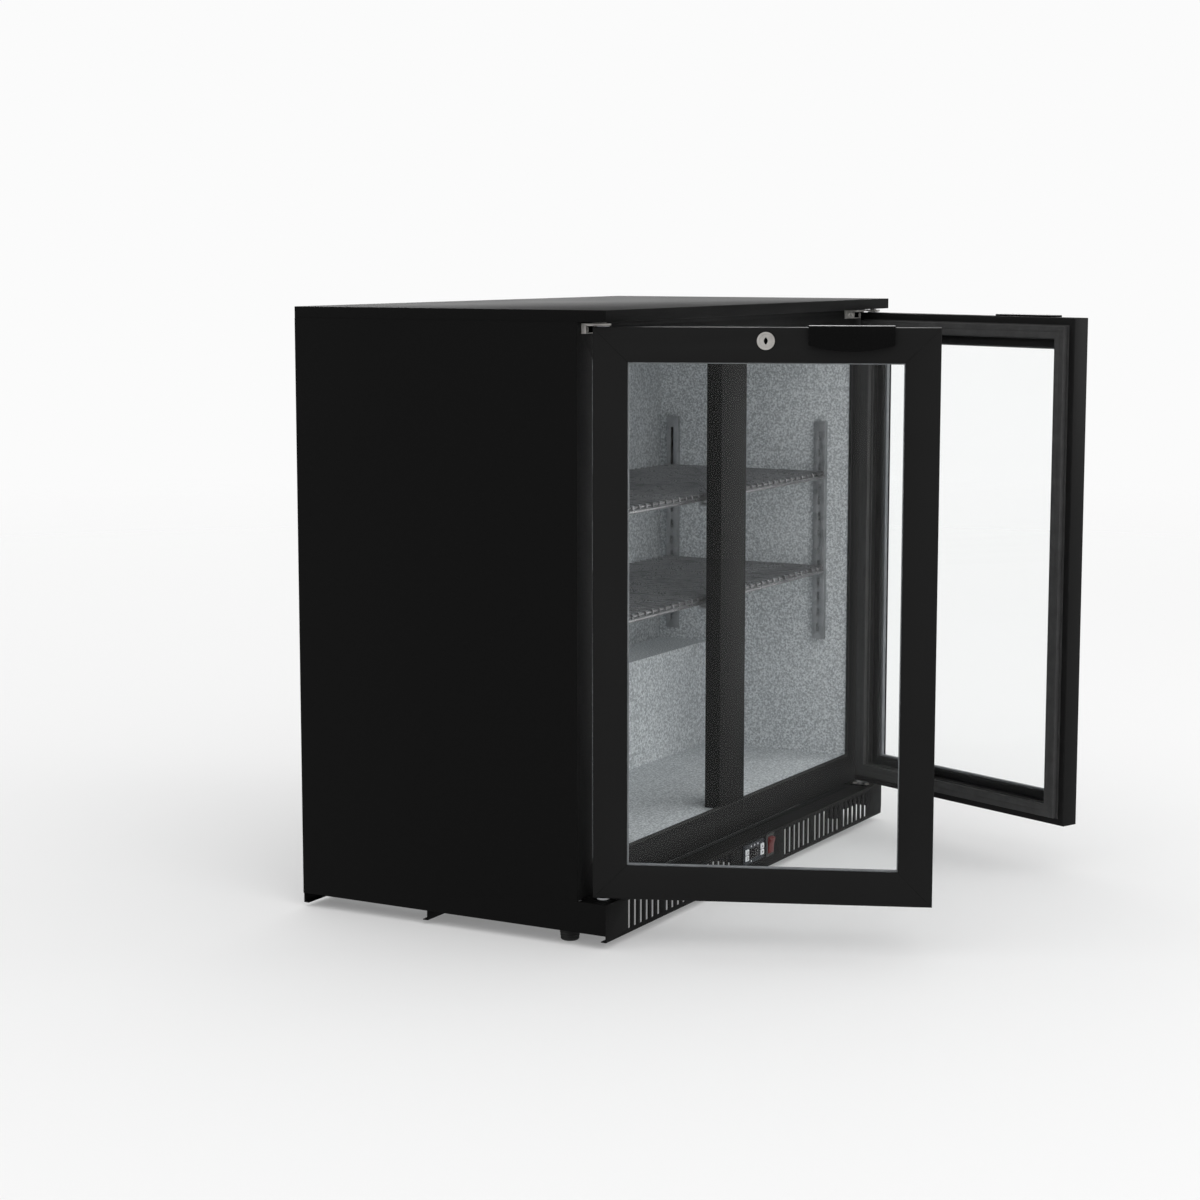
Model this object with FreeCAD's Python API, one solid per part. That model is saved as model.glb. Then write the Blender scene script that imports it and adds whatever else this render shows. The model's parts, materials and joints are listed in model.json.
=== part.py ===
import FreeCAD, Part

import math
import os

from FreeCAD import Rotation, Vector

# Under-counter bottle cooler with two hinged glass doors, standing with both doors open.
# Millimetres, +Z up, doors towards -Y. The origin is on the floor under the cabinet's centre.

# Overall sizes
WIDTH = 900.0
DEPTH = 475.0
HEIGHT = 820.0

# Cabinet shell
SHEET = 1.2  # sheet steel of the panels, plinth and rails
TOP_T = 15.0  # folded top panel
FLOOR_GAP = 10.0  # floor to the plinth's lower edge
SIDE_LIFT = 9.0  # the side panels end this much above the plinth's lower edge
PLINTH_H = 50.0
PLINTH_REACH = 42.0  # the plinth and top stand this far in front of the face frame
LIP = 8.0  # folded lips of the plinth and rails
SIDE_FLANGE = 45.0  # bottom flange of a side panel, which carries the feet
SIDE_WALL = 38.0
BACK_WALL = 40.0
SILL_H = 44.0
HEAD_H = 45.0
FACE_T = 4.0
LINER_T = 1.0
DUCT_GAP = 58.0  # air duct between the liner's back and the duct panel
MULLION_W = 80.0
MULLION_T = 24.0

# Machine compartment, behind and under the raised part of the liner
MACHINE_DEPTH = 150.0
MACHINE_H = 225.0
STEP_WALL = 35.0
MID_RAIL_GAP = 52.0
RAIL_GAP = 5.5  # floor to the rails' lips
RAIL_H = 30.0  # top of the rear rail, above the plinth's lower edge
VENT_SLOT = 3.5
VENT_PITCH = 14.0

# Plinth slots and controls
SLOT_W = 6.0
SLOT_MARGIN_Z = 6.0
SLOT_PITCH = 16.3
SLOTS_PER_GROUP = 6
GROUP_GAP = 24.5
SLOT_START = 64.0  # first slot, from the side of the cabinet
CONTROL_ZONE = 90.0  # half width kept free of slots in the middle
CONTROL_W = 64.0
CONTROL_H = 28.0
CONTROL_X = -17.0  # centre of the controller
CONTROL_BODY = 45.0
CONTROL_RISE = 7.0  # above the middle of the plinth
BEZEL_T = 3.0
WINDOW_H = 15.0
BUTTON_W = 9.6
BUTTON_H = 7.4
BUTTON_SPLIT = 1.4  # between the two keys of a pair
BUTTON_TRAVEL = 1.0
BUTTON_PROUD = 1.2  # in front of the bezel, a little more than the travel
BUTTON_TAIL = 2.0  # behind the plinth's face
BUTTON_GAP = 0.3
BUTTON_EDGE = 2.6  # from the key to the side of the bezel
ROCKER_X = 37.0
ROCKER_W = 24.0
ROCKER_H = 32.0
ROCKER_TILT = 8.0

# Doors
DOOR_SIDE_GAP = 10.0
DOOR_CENTRE_GAP = 12.0
DOOR_END_GAP = 6.0  # above the plinth and under the top panel
DOOR_SETBACK = 3.0
DOOR_T = 28.6
STILE = 31.0  # box section of the door frame
STILE_FLAT = 28.0
LIP_W = 13.0  # sloped lip inside the box section
LIP_T = 2.0
LIP_SLOPE = 2.5
EDGE = 1.0
GLASS_T = 3.0
GLASS_GAP = 6.0
GLASS_CLEAR = 1.0
BEAD_T = 3.5
SPACER_W = 7.0
SPACER_SHOW = 1.5
GASKET_INSET = 10.0
GASKET_W = 21.0
GASKET_GAP = 0.3
DOOR_OPEN = 67.5  # degrees, both doors at rest

# Hinges
PIVOT_IN = 12.0  # from the hinge edge of the door
PIVOT_BACK = 13.0  # from the outer face of the door
PIN_R = 3.0
PIN_DEPTH = 14.0
RUN_CLEAR = 0.05
BUSH_R = 6.0
BUSH_FLANGE_R = 8.0
LEAF_GAP = 1.5  # from the top of the door to the leaf
LEAF_T = 2.5
LEAF_H = 13.0
LEAF_W = 60.0
PLATE_T = 2.0

# Lock
LOCK_DROP = 16.6  # lock centre under the top edge of the door
LOCK_R = 11.25
LOCK_BODY_R = 10.0
LOCK_PROUD = 1.5
LOCK_DEPTH = 18.0
PLUG_R = 8.0
CAM_REACH = 26.0
CAM_W = 10.0
CAM_T = 2.5

# Handle
HANDLE_W = 107.0
HANDLE_FREE_GAP = 57.0  # from the free edge of the door
HANDLE_RISE = 2.5
HANDLE_DROP = 21.5
HANDLE_BELLY = 7.7
HANDLE_OUT = 15.0
HANDLE_END_OUT = 8.0
HANDLE_WALL = 3.0
HANDLE_HOOK = 16.0

# Feet
FOOT_R = 14.0
FOOT_TIP_R = 11.0
FOOT_FRONT_IN = 30.0  # the front feet carry the side panels' flanges
FOOT_BACK_IN = 90.0  # the back feet carry the machine tray
FOOT_FRONT = 70.0
FOOT_BACK = 45.0
FOOT_STUD = 5.0

# Shelves and their supports
SHELF_LEVELS = (393.0, 541.0)  # under side of the front rod above the floor
SHELF_FRONT = 42.0  # from the face frame to the front rod
SHELF_CLEAR = 2.0
ROD_R = 2.5
WIRE_R = 1.5
WIRE_PITCH = 19.0
SHELF_LIFT = 11.0  # the deck wires are this much above the front rod
PILASTER_W = 20.0
PILASTER_T = 8.0
PILASTER_FRONT = 41.0
PILASTER_BACK = 15.0
PILASTER_START = 18.0  # above the raised floor
PILASTER_END = 130.0  # under the ceiling
PILASTER_SLOT = (4.0, 12.0)
PILASTER_PITCH = 25.0
CLIP_T = 3.0
CLIP_REACH = 12.0
CLIP_GAP = 1.5  # between a clip and the front rod

# Cooling parts
COIL_H = 130.0
COIL_DROP = 150.0
COIL_MARGIN = 110.0
COIL_DEPTH = 44.0  # condenser coil, along X
FIN_T = 0.8
FIN_PITCH = 12.0
TUBE_R = 4.5
EVAP_FAN_R = 52.0
EVAP_FAN_DROP = 65.0
FAN_FRAME = 120.0
FAN_T = 25.0
CONDENSER_X = 270.0  # back of the condenser coil, from the left side
CONDENSER_MARGIN = 12.0
COMPRESSOR_MARGIN = 15.0
COMPRESSOR_H = 160.0
MOUNT_H = 16.0
TRAY_T = 2.0
DRAIN_R = 7.0
PIPE_R = 3.2
SCREW_R = 1.9
SCREW_HEAD_R = 3.8
SCREW_HEAD_H = 2.0

# Derived places
LEFT, RIGHT = -WIDTH / 2, WIDTH / 2
FRONT, BACK = -DEPTH / 2, DEPTH / 2
TOP_UNDER = HEIGHT - TOP_T
LEDGE = FLOOR_GAP + PLINTH_H
FACE_Y = FRONT + PLINTH_REACH
FACE_BACK = FACE_Y + FACE_T
SILL_Z = LEDGE + SILL_H
HEAD_Z = TOP_UNDER - HEAD_H
IN_X = WIDTH / 2 - SIDE_WALL
IN_BACK = BACK - BACK_WALL
DUCT_Y = IN_BACK - DUCT_GAP
MACHINE_Y = BACK - MACHINE_DEPTH
COND_FAN_R = MACHINE_DEPTH / 2 - CONDENSER_MARGIN - 1
COMPRESSOR_R = MACHINE_DEPTH / 2 - COMPRESSOR_MARGIN
MACHINE_TOP = FLOOR_GAP + MACHINE_H
STEP_Y = MACHINE_Y - STEP_WALL
STEP_Z = MACHINE_TOP + STEP_WALL
MID_RAIL_Y = MACHINE_Y - MID_RAIL_GAP
TRAY_TOP = FLOOR_GAP + 2 * SHEET
SIDE_Z = FLOOR_GAP + SIDE_LIFT
INLET_X, INLET_Z = RIGHT - 110.0, TRAY_TOP + 90.0
SKIN_X = WIDTH / 2 - SHEET

DOOR_W = (WIDTH - 2 * DOOR_SIDE_GAP - DOOR_CENTRE_GAP) / 2
DOOR_X0 = LEFT + DOOR_SIDE_GAP
DOOR_X1 = DOOR_X0 + DOOR_W
DOOR_Z0 = LEDGE + DOOR_END_GAP
DOOR_Z1 = TOP_UNDER - DOOR_END_GAP
DOOR_Y0 = FRONT + DOOR_SETBACK
DOOR_Y1 = DOOR_Y0 + DOOR_T
SIGHT = STILE + LIP_W  # from the door's outer edge to the visible glass
PANE_Y = DOOR_Y0 + LIP_SLOPE + LIP_T
INNER_PANE_Y = PANE_Y + GLASS_T + GLASS_GAP
BEAD_Y = INNER_PANE_Y + GLASS_T
PIVOT = Vector(DOOR_X0 + PIVOT_IN, DOOR_Y0 + PIVOT_BACK, 0)
LOCK_X = (DOOR_X0 + DOOR_X1) / 2
LOCK_Z = DOOR_Z1 - LOCK_DROP
CAM_Y = DOOR_Y0 + LOCK_DEPTH + 1.0
CONTROL_Z = FLOOR_GAP + PLINTH_H / 2 + CONTROL_RISE
PILASTER_Z = (STEP_Z + PILASTER_START, HEAD_Z - PILASTER_END)
CLIP_Z = [level + SHELF_LIFT - WIRE_R - 2 * ROD_R - CLIP_T for level in SHELF_LEVELS]


def box(x0, x1, y0, y1, z0, z1):
    return Part.makeBox(x1 - x0, y1 - y0, z1 - z0, Vector(x0, y0, z0))


def rod(radius, start, end):
    """Round bar between two points."""
    line = Vector(end) - Vector(start)
    return Part.makeCylinder(radius, line.Length, Vector(start), line)


def prism_x(outline, x0, x1):
    """Outline of (y, z) points, extruded along X."""
    points = [Vector(x0, y, z) for y, z in outline]
    face = Part.Face(Part.makePolygon(points + points[:1]))
    return face.extrude(Vector(x1 - x0, 0, 0))


def mitred_ring(x0, x1, z0, z1, profile):
    """Rectangular frame with mitred corners; the profile's points are (inset, y)."""

    def corners(inset, y):
        return [
            Vector(x0 + inset, y, z0 + inset),
            Vector(x1 - inset, y, z0 + inset),
            Vector(x1 - inset, y, z1 - inset),
            Vector(x0 + inset, y, z1 - inset),
        ]

    faces = []
    for one, two in zip(profile, profile[1:] + profile[:1]):
        a, b = corners(*one), corners(*two)
        for i in range(4):
            j = (i + 1) % 4
            faces.append(Part.Face(Part.makePolygon([a[i], a[j], b[j], b[i], a[i]])))
    shell = Part.makeShell(faces)
    shell.sewShape()
    solid = Part.makeSolid(shell)
    if solid.Volume < 0:
        solid.reverse()
    return solid


def hollow_tray(x0, x1, y0, y1, z0, z1, wall):
    """Open-topped tray."""
    outer = box(x0, x1, y0, y1, z0, z1)
    return outer.cut(box(x0 + wall, x1 - wall, y0 + wall, y1 - wall, z0 + wall, z1 + wall))


def pipe(points, radius, bend):
    """Round tube's envelope along straight runs that are joined by tangent arcs."""
    points = [Vector(p) for p in points]
    edges = []
    start = points[0]
    for before, here, after in zip(points, points[1:], points[2:]):
        back = (before - here).normalize()
        ahead = (after - here).normalize()
        half = back.getAngle(ahead) / 2
        reach = bend / math.tan(half)
        first = here + back * reach
        last = here + ahead * reach
        centre = here + (back + ahead).normalize() * (bend / math.sin(half))
        middle = centre + (here - centre).normalize() * bend
        edges.append(Part.LineSegment(start, first).toShape())
        edges.append(Part.Arc(first, middle, last).toShape())
        start = last
    edges.append(Part.LineSegment(start, points[-1]).toShape())
    path = Part.Wire(edges)
    circle = Part.Circle(points[0], points[1] - points[0], radius).toShape()
    return path.makePipeShell([Part.Wire([circle])], True, False)


def screw(head_at, into, length=7.0):
    """Pan-head screw: the head lies outside the point, the shank runs into the metal."""
    into = Vector(into).normalize()
    at = Vector(head_at)
    head = Part.makeCylinder(SCREW_HEAD_R, SCREW_HEAD_H, at - into * SCREW_HEAD_H, into)
    rim = [e for e in head.Edges if abs(e.CenterOfMass.distanceToPoint(at) - SCREW_HEAD_H) < 0.01]
    head = head.makeFillet(0.8, [e for e in rim if e.Length > SCREW_HEAD_R * 6])
    shank = Part.makeCylinder(SCREW_R, length, at, into)
    drive = box(-0.5, 0.5, -2.2, 2.2, -0.1, 1.0).fuse(box(-2.2, 2.2, -0.5, 0.5, -0.1, 1.0))
    drive.Placement = FreeCAD.Placement(
        at - into * (SCREW_HEAD_H + 0.05), Rotation(Vector(0, 0, 1), into)
    )
    return head.fuse(shank).removeSplitter().cut(drive)


def shank_hole(head_at, into, length=7.0):
    return Part.makeCylinder(SCREW_R, length, Vector(head_at), Vector(into))


def drilled(shape, places):
    """Cuts the shank of each screw place from a piece."""
    for head_at, into in places:
        shape = shape.cut(shank_hole(head_at, into))
    return shape


def both_sides(shape):
    """The piece and its mirror image on the other side of the cabinet."""
    return [shape, shape.mirror(Vector(0, 0, 0), Vector(1, 0, 0))]


def mirrored_places(places):
    """Screw places on the left, and the same on the right."""
    right = [(Vector(-at.x, at.y, at.z), Vector(-to.x, to.y, to.z)) for at, to in places]
    return places + right


# Fasteners

def leaf_screws():
    """Two screws through each top hinge leaf into the face frame."""
    z = DOOR_Z1 + LEAF_GAP + LEAF_T - LEAF_H / 2
    xs = (LEFT + LEAF_W * 0.75, LEFT + LEAF_W)
    return mirrored_places([(Vector(x, FACE_Y - LEAF_T, z), Vector(0, 1, 0)) for x in xs])


def plate_screws():
    """Two screws down through each lower hinge plate into the plinth's ledge."""
    spots = [(PIVOT.x + 18.0, PIVOT.y - 8.0), (PIVOT.x + 18.0, PIVOT.y + 12.0)]
    return mirrored_places([(Vector(x, y, LEDGE + PLATE_T), Vector(0, 0, -1)) for x, y in spots])


def rear_screws():
    """Screws round the rear vent cover and the edges of the back panel."""
    low = [(x, TRAY_TOP + 40.0) for x in (LEFT + 24.0, RIGHT - 24.0)]
    levels = (MACHINE_TOP + 14.0, (MACHINE_TOP + TOP_UNDER) / 2, TOP_UNDER - 14.0)
    high = [(x, z) for x in (LEFT + 24.0, 0.0, RIGHT - 24.0) for z in levels]
    return [(Vector(x, BACK, z), Vector(0, -1, 0)) for x, z in low + high]


def front_foot_places():
    return [Vector(x, FRONT + FOOT_FRONT, 0) for x in (LEFT + FOOT_FRONT_IN, RIGHT - FOOT_FRONT_IN)]


def back_foot_places():
    return [Vector(x, BACK - FOOT_BACK, 0) for x in (LEFT + FOOT_BACK_IN, RIGHT - FOOT_BACK_IN)]


def foot_stud(height, length):
    """Stud of a foot, which is also its hole in the sheet above."""
    return rod(SCREW_R, (0, 0, height), (0, 0, height + length))


def screws():
    places = leaf_screws() + plate_screws() + rear_screws()
    return [screw(at, into) for at, into in places]


# Cabinet shell

def top_panel():
    """Folded steel top with a closed front overhang, which holds the strike slots."""
    outer = box(LEFT, RIGHT, FRONT, BACK, TOP_UNDER, HEIGHT)
    inside = box(-SKIN_X, SKIN_X, FRONT + SHEET, BACK - SHEET, TOP_UNDER + SHEET, HEIGHT - SHEET)
    open_bottom = box(-SKIN_X, SKIN_X, FACE_Y, BACK - SHEET, TOP_UNDER - SHEET, HEIGHT - SHEET)
    panel = outer.cut(inside).cut(open_bottom)
    strike = box(
        LOCK_X - CAM_W / 2 - 2, LOCK_X + CAM_W / 2 + 12,
        CAM_Y - 2, CAM_Y + CAM_T + 2, TOP_UNDER - SHEET, TOP_UNDER + 2 * SHEET,
    )
    for slot in both_sides(strike):
        panel = panel.cut(slot)
    return panel


def side_panel():
    """Left side: the wall, its plinth nose and the bottom flange that carries the feet."""
    wall = box(LEFT, -SKIN_X, FACE_Y, BACK, SIDE_Z, TOP_UNDER)
    nose = box(LEFT, -SKIN_X, FRONT, FACE_Y, SIDE_Z, LEDGE)
    flange = box(-SKIN_X, LEFT + SIDE_FLANGE, FACE_Y, BACK - 2 * SHEET, SIDE_Z, SIDE_Z + SHEET)
    panel = wall.fuse([nose, flange]).removeSplitter()
    return panel.cut(foot_stud(SIDE_Z, SHEET).translated(front_foot_places()[0]))


def back_panel():
    panel = box(-SKIN_X, SKIN_X, BACK - SHEET, BACK, MACHINE_TOP, TOP_UNDER)
    return drilled(panel, rear_screws())


def base_skin():
    """Stepped sheet under the foam: floor, riser and roof of the machine compartment."""
    rear = BACK - SHEET
    skin = prism_x(
        [
            (FACE_BACK, LEDGE), (MACHINE_Y, LEDGE), (MACHINE_Y, MACHINE_TOP), (rear, MACHINE_TOP),
            (rear, MACHINE_TOP + SHEET), (MACHINE_Y - SHEET, MACHINE_TOP + SHEET),
            (MACHINE_Y - SHEET, LEDGE + SHEET), (FACE_BACK, LEDGE + SHEET),
        ],
        -SKIN_X, SKIN_X,
    )
    return drilled(cut_passages(skin), rear_screws())


def liner_outline(grow):
    """Side view of the liner's cavity, grown outwards by the liner's thickness or by nothing."""
    return [
        (FACE_BACK, SILL_Z - grow), (STEP_Y + grow, SILL_Z - grow), (STEP_Y + grow, STEP_Z - grow),
        (IN_BACK + grow, STEP_Z - grow), (IN_BACK + grow, HEAD_Z + grow), (FACE_BACK, HEAD_Z + grow),
    ]


def inner_liner():
    outer = prism_x(liner_outline(LINER_T), -IN_X - LINER_T, IN_X + LINER_T)
    return cut_passages(outer.cut(prism_x(liner_outline(0), -IN_X, IN_X)))


def insulation():
    """Foam between the liner, the outer skin and the top panel."""
    rear = BACK - SHEET
    block = prism_x(
        [
            (FACE_BACK, LEDGE + SHEET), (MACHINE_Y - SHEET, LEDGE + SHEET),
            (MACHINE_Y - SHEET, MACHINE_TOP + SHEET), (rear, MACHINE_TOP + SHEET),
            (rear, HEIGHT - SHEET), (FACE_BACK, HEIGHT - SHEET),
        ],
        -SKIN_X, SKIN_X,
    )
    cavity = prism_x(liner_outline(LINER_T), -IN_X - LINER_T, IN_X + LINER_T)
    return drilled(cut_passages(block.cut(cavity)), rear_screws() + leaf_screws())


def face_frame():
    plate = box(-SKIN_X, SKIN_X, FACE_Y, FACE_BACK, LEDGE, TOP_UNDER)
    opening = box(-IN_X, IN_X, FACE_Y - 1, FACE_BACK + 1, SILL_Z, HEAD_Z)
    return drilled(plate.cut(opening), leaf_screws())


def centre_mullion():
    return box(-MULLION_W / 2, MULLION_W / 2, FACE_Y, FACE_Y + MULLION_T, SILL_Z, HEAD_Z)


def slot_places():
    """Centres of the plinth's slots, in groups from each side towards the controls."""
    group = (SLOTS_PER_GROUP - 1) * SLOT_PITCH
    room = WIDTH / 2 - CONTROL_ZONE - SLOT_START
    count = int((room + GROUP_GAP) // (group + GROUP_GAP))
    xs = []
    for g in range(count):
        start = LEFT + SLOT_START + g * (group + GROUP_GAP)
        xs += [start + i * SLOT_PITCH for i in range(SLOTS_PER_GROUP)]
    return xs + [-x for x in xs]


def front_grille():
    """Folded plinth: slotted front, top ledge and bottom lip, with the control cut-outs."""
    front = box(-SKIN_X, SKIN_X, FRONT, FRONT + SHEET, FLOOR_GAP, LEDGE)
    ledge = box(-SKIN_X, SKIN_X, FRONT, FACE_Y, LEDGE - SHEET, LEDGE)
    lip = box(-SKIN_X, SKIN_X, FRONT, FRONT + LIP, FLOOR_GAP, FLOOR_GAP + SHEET)
    grille = front.fuse([ledge, lip]).removeSplitter()
    z0, z1 = FLOOR_GAP + SLOT_MARGIN_Z, LEDGE - SLOT_MARGIN_Z
    half = SLOT_W / 2
    cuts = [box(x - half, x + half, FRONT - 1, FRONT + 2, z0, z1) for x in slot_places()]
    cuts.append(control_box(CONTROL_W - 4, CONTROL_H - 4, FRONT - 1, FRONT + 2))
    cuts.append(rocker_box(ROCKER_W - 4, ROCKER_H - 4, FRONT - 1, FRONT + 2))
    return drilled(grille.cut(cuts), plate_screws())


def base_rails():
    """Cross rails under the cabinet: one in front of the machine compartment, one at the back."""
    lip_top = RAIL_GAP + SHEET
    mid = box(-SKIN_X, SKIN_X, MID_RAIL_Y, MID_RAIL_Y + SHEET, RAIL_GAP, LEDGE)
    mid_lip = box(-SKIN_X, SKIN_X, MID_RAIL_Y, MID_RAIL_Y + LIP, RAIL_GAP, lip_top)
    rear = box(-SKIN_X, SKIN_X, BACK - SHEET, BACK, RAIL_GAP, FLOOR_GAP + RAIL_H)
    rear_lip = box(-SKIN_X, SKIN_X, BACK - LIP, BACK, RAIL_GAP, lip_top)
    rails = [mid.fuse(mid_lip).removeSplitter(), rear.fuse(rear_lip).removeSplitter()]
    flange = side_panel()
    mirror = flange.mirror(Vector(0, 0, 0), Vector(1, 0, 0))
    return [rail.cut([flange, mirror]) for rail in rails]


def machine_tray():
    x = WIDTH / 2 - SIDE_FLANGE - 2
    floor = box(-x, x, MID_RAIL_Y + SHEET, BACK - SHEET, FLOOR_GAP + SHEET, TRAY_TOP)
    upstand = box(-x, x, MID_RAIL_Y + SHEET, MID_RAIL_Y + 2 * SHEET, FLOOR_GAP + SHEET, TRAY_TOP + 14)
    holes = [foot_stud(TRAY_TOP - SHEET, SHEET).translated(spot) for spot in back_foot_places()]
    return floor.fuse(upstand).removeSplitter().cut(holes)


def rear_vent_cover():
    """Removable cover over the machine compartment, with rows of slots and the inlet's hole."""
    cover = box(-SKIN_X, SKIN_X, BACK - SHEET, BACK, FLOOR_GAP + RAIL_H, MACHINE_TOP)
    cuts = []
    count = int((WIDTH - 260) // VENT_PITCH)
    for row in range(3):
        z = TRAY_TOP + 62 + row * 44
        for i in range(count):
            x = LEFT + 70 + i * VENT_PITCH
            cuts.append(box(x, x + VENT_SLOT, BACK - 2, BACK + 1, z, z + 34))
    cuts.append(inlet_box(0.0, BACK - 2, BACK + 1))
    return drilled(cover.cut(cuts), rear_screws())


def inlet_box(grow, y0, y1):
    """Mains inlet's body, or its hole in the cover, at the right of the back."""
    half_w, half_h = 14 + grow, 24 + grow
    return box(INLET_X - half_w, INLET_X + half_w, y0, y1, INLET_Z - half_h, INLET_Z + half_h)


def mains_inlet():
    body = inlet_box(0.0, BACK - 26, BACK).fuse(inlet_box(4.0, BACK, BACK + 2)).removeSplitter()
    recess = box(INLET_X - 9, INLET_X + 9, BACK - 16, BACK + 3, INLET_Z - 15, INLET_Z + 15)
    pin = box(INLET_X - 1, INLET_X + 1, BACK - 16, BACK - 3, INLET_Z - 2.5, INLET_Z + 2.5)
    return body.cut(recess).fuse([pin.translated(Vector(0, 0, dz)) for dz in (-8, 0, 8)])


def foot(height, stud_length):
    body = Part.makeCone(FOOT_TIP_R, FOOT_R, height)
    tip = [e for e in body.Edges if e.BoundBox.ZMax < 0.01 and e.Length > FOOT_TIP_R]
    return body.makeFillet(1.0, tip).fuse(foot_stud(height, stud_length))


def feet():
    """Tall feet under the side panels in front; low ones with short studs under the tray."""
    front, back = foot(SIDE_Z, FOOT_STUD), foot(TRAY_TOP - SHEET, SHEET)
    pairs = [front.translated(spot) for spot in front_foot_places()]
    return pairs + [back.translated(spot) for spot in back_foot_places()]


# Inside fittings

def pilaster(x_wall, y0):
    """Slotted support strip that stands on the left wall."""
    z0, z1 = PILASTER_Z
    front = x_wall + PILASTER_T
    strip = box(x_wall, front, y0, y0 + PILASTER_W, z0, z1)
    core = box(x_wall, front - SHEET, y0 + SHEET, y0 + PILASTER_W - SHEET, z0 - 1, z1 + 1)
    return strip.cut([core] + pilaster_slots(x_wall - 1, front + 1, y0 + PILASTER_W / 2, "x"))


def pilaster_slots(lo, hi, middle, through):
    """Row of slots from lo to hi along the axis that they go through."""
    z0, z1 = PILASTER_Z
    width, height = PILASTER_SLOT
    count = int((z1 - z0 - PILASTER_PITCH) // PILASTER_PITCH) + 1
    slots = []
    for i in range(count):
        z = z0 + PILASTER_PITCH / 2 + i * PILASTER_PITCH
        a, b = middle - width / 2, middle + width / 2
        if through == "x":
            slots.append(box(lo, hi, a, b, z, z + height))
        else:
            slots.append(box(a, b, lo, hi, z, z + height))
    return slots


def centre_pilaster(y_wall, side):
    """The same strip on the duct panel or on the back of the mullion."""
    z0, z1 = PILASTER_Z
    half = PILASTER_W / 2
    ys = sorted((y_wall, y_wall + side * PILASTER_T))
    core_ys = sorted((y_wall, y_wall + side * (PILASTER_T - SHEET)))
    strip = box(-half, half, ys[0], ys[1], z0, z1)
    core = box(-half + SHEET, half - SHEET, core_ys[0], core_ys[1], z0 - 1, z1 + 1)
    return strip.cut([core] + pilaster_slots(ys[0] - 1, ys[1] + 1, 0.0, "y"))


def pilaster_ys():
    return FACE_Y + PILASTER_FRONT, DUCT_Y - PILASTER_BACK - PILASTER_W


def pilasters():
    strips = []
    for y0 in pilaster_ys():
        strips += both_sides(pilaster(-IN_X, y0))
    strips.append(centre_pilaster(FACE_Y + MULLION_T, 1))
    strips.append(centre_pilaster(DUCT_Y, -1))
    return strips


def shelf_span():
    """Left shelf's outer sides: from the side pilaster to the middle of the cabinet."""
    return -IN_X + PILASTER_T + SHELF_CLEAR, -PILASTER_W / 4


def shelf_clips():
    """Clips under the shelves' side rods, standing on the pilasters."""
    x0 = -IN_X + PILASTER_T
    behind_rod = FACE_Y + SHELF_FRONT + ROD_R + CLIP_GAP
    clips = []
    for z in CLIP_Z:
        for y0 in pilaster_ys():
            start, end = max(y0 + 3, behind_rod), y0 + PILASTER_W - 3
            tab = box(x0, x0 + CLIP_REACH, start, end, z, z + CLIP_T)
            toe = box(x0, x0 + 2, start, end, z - 9, z)
            clips += both_sides(tab.fuse(toe).removeSplitter())
        clips += centre_clips(z, behind_rod)
    return clips


def centre_clips(z, behind_rod):
    """The clips that both shelves share: the front one passes under their front rods."""
    half = PILASTER_W * 0.6
    wall = DUCT_Y - PILASTER_T
    rear = box(-half, half, wall - 22, wall, z, z + CLIP_T)
    under = z - ROD_R - CLIP_T
    end = behind_rod + CLIP_T
    arm = box(-half, half, FACE_Y + MULLION_T + PILASTER_T, end, under - CLIP_T, under)
    riser = box(-half, half, behind_rod, end, under - CLIP_T, z + CLIP_T)
    tab = box(-half, half, behind_rod, behind_rod + CLIP_REACH, z, z + CLIP_T)
    return [rear, arm.fuse([riser, tab]).removeSplitter()]


def wire_shelf(level):
    """Left wire shelf: side and back rods, cross rods, and deck wires that turn down in front."""
    x0, x1 = shelf_span()
    y0, y1 = FACE_Y + SHELF_FRONT, DUCT_Y - PILASTER_T - SHELF_CLEAR
    low = level + ROD_R
    deck = level + SHELF_LIFT
    under = deck - WIRE_R - ROD_R
    bars = [
        rod(ROD_R, (x0, y0, low), (x1, y0, low)),
        rod(ROD_R, (x0, y1 - ROD_R, under), (x1, y1 - ROD_R, under)),
    ]
    bars += [rod(ROD_R, (x, y0 + 4, under), (x, y1 - ROD_R, under)) for x in (x0 + ROD_R, x1 - ROD_R)]
    bars += [
        rod(ROD_R, (x0 + ROD_R, y, under), (x1 - ROD_R, y, under))
        for y in (y0 + 4, y0 + (y1 - y0) * 0.36, y0 + (y1 - y0) * 0.68)
    ]
    count = int((x1 - x0 - 2 * ROD_R) // WIRE_PITCH)
    pitch = (x1 - x0 - 2 * ROD_R) / count
    overlap = 0.3
    for i in range(count + 1):
        x = x0 + ROD_R + i * pitch
        line = [(x, y0, low), (x, y0, deck - overlap), (x, y1 - ROD_R, deck - overlap)]
        bars.append(pipe(line, WIRE_R, 3.0))
    return bars[0].fuse(bars[1:])


def shelves(level):
    return both_sides(wire_shelf(level))


def duct_panel():
    """Back wall that is seen inside, with the fan's hole and rows of return slots."""
    panel = box(-IN_X, IN_X, DUCT_Y, DUCT_Y + LINER_T, STEP_Z, HEAD_Z)
    fan = rod(EVAP_FAN_R + 2, (0, DUCT_Y - 1, fan_z()), (0, DUCT_Y + 3, fan_z()))
    z = SHELF_LEVELS[0] + 30
    slots = [box(x, x + 4, DUCT_Y - 1, DUCT_Y + 2, z, z + 34) for x in return_slots()]
    return panel.cut(slots).cut(fan)


def return_slots():
    reach = IN_X - 90
    count = int(2 * reach // 24)
    return [-reach + i * 24 for i in range(count)]


def fan_z():
    return HEAD_Z - EVAP_FAN_DROP


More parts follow.
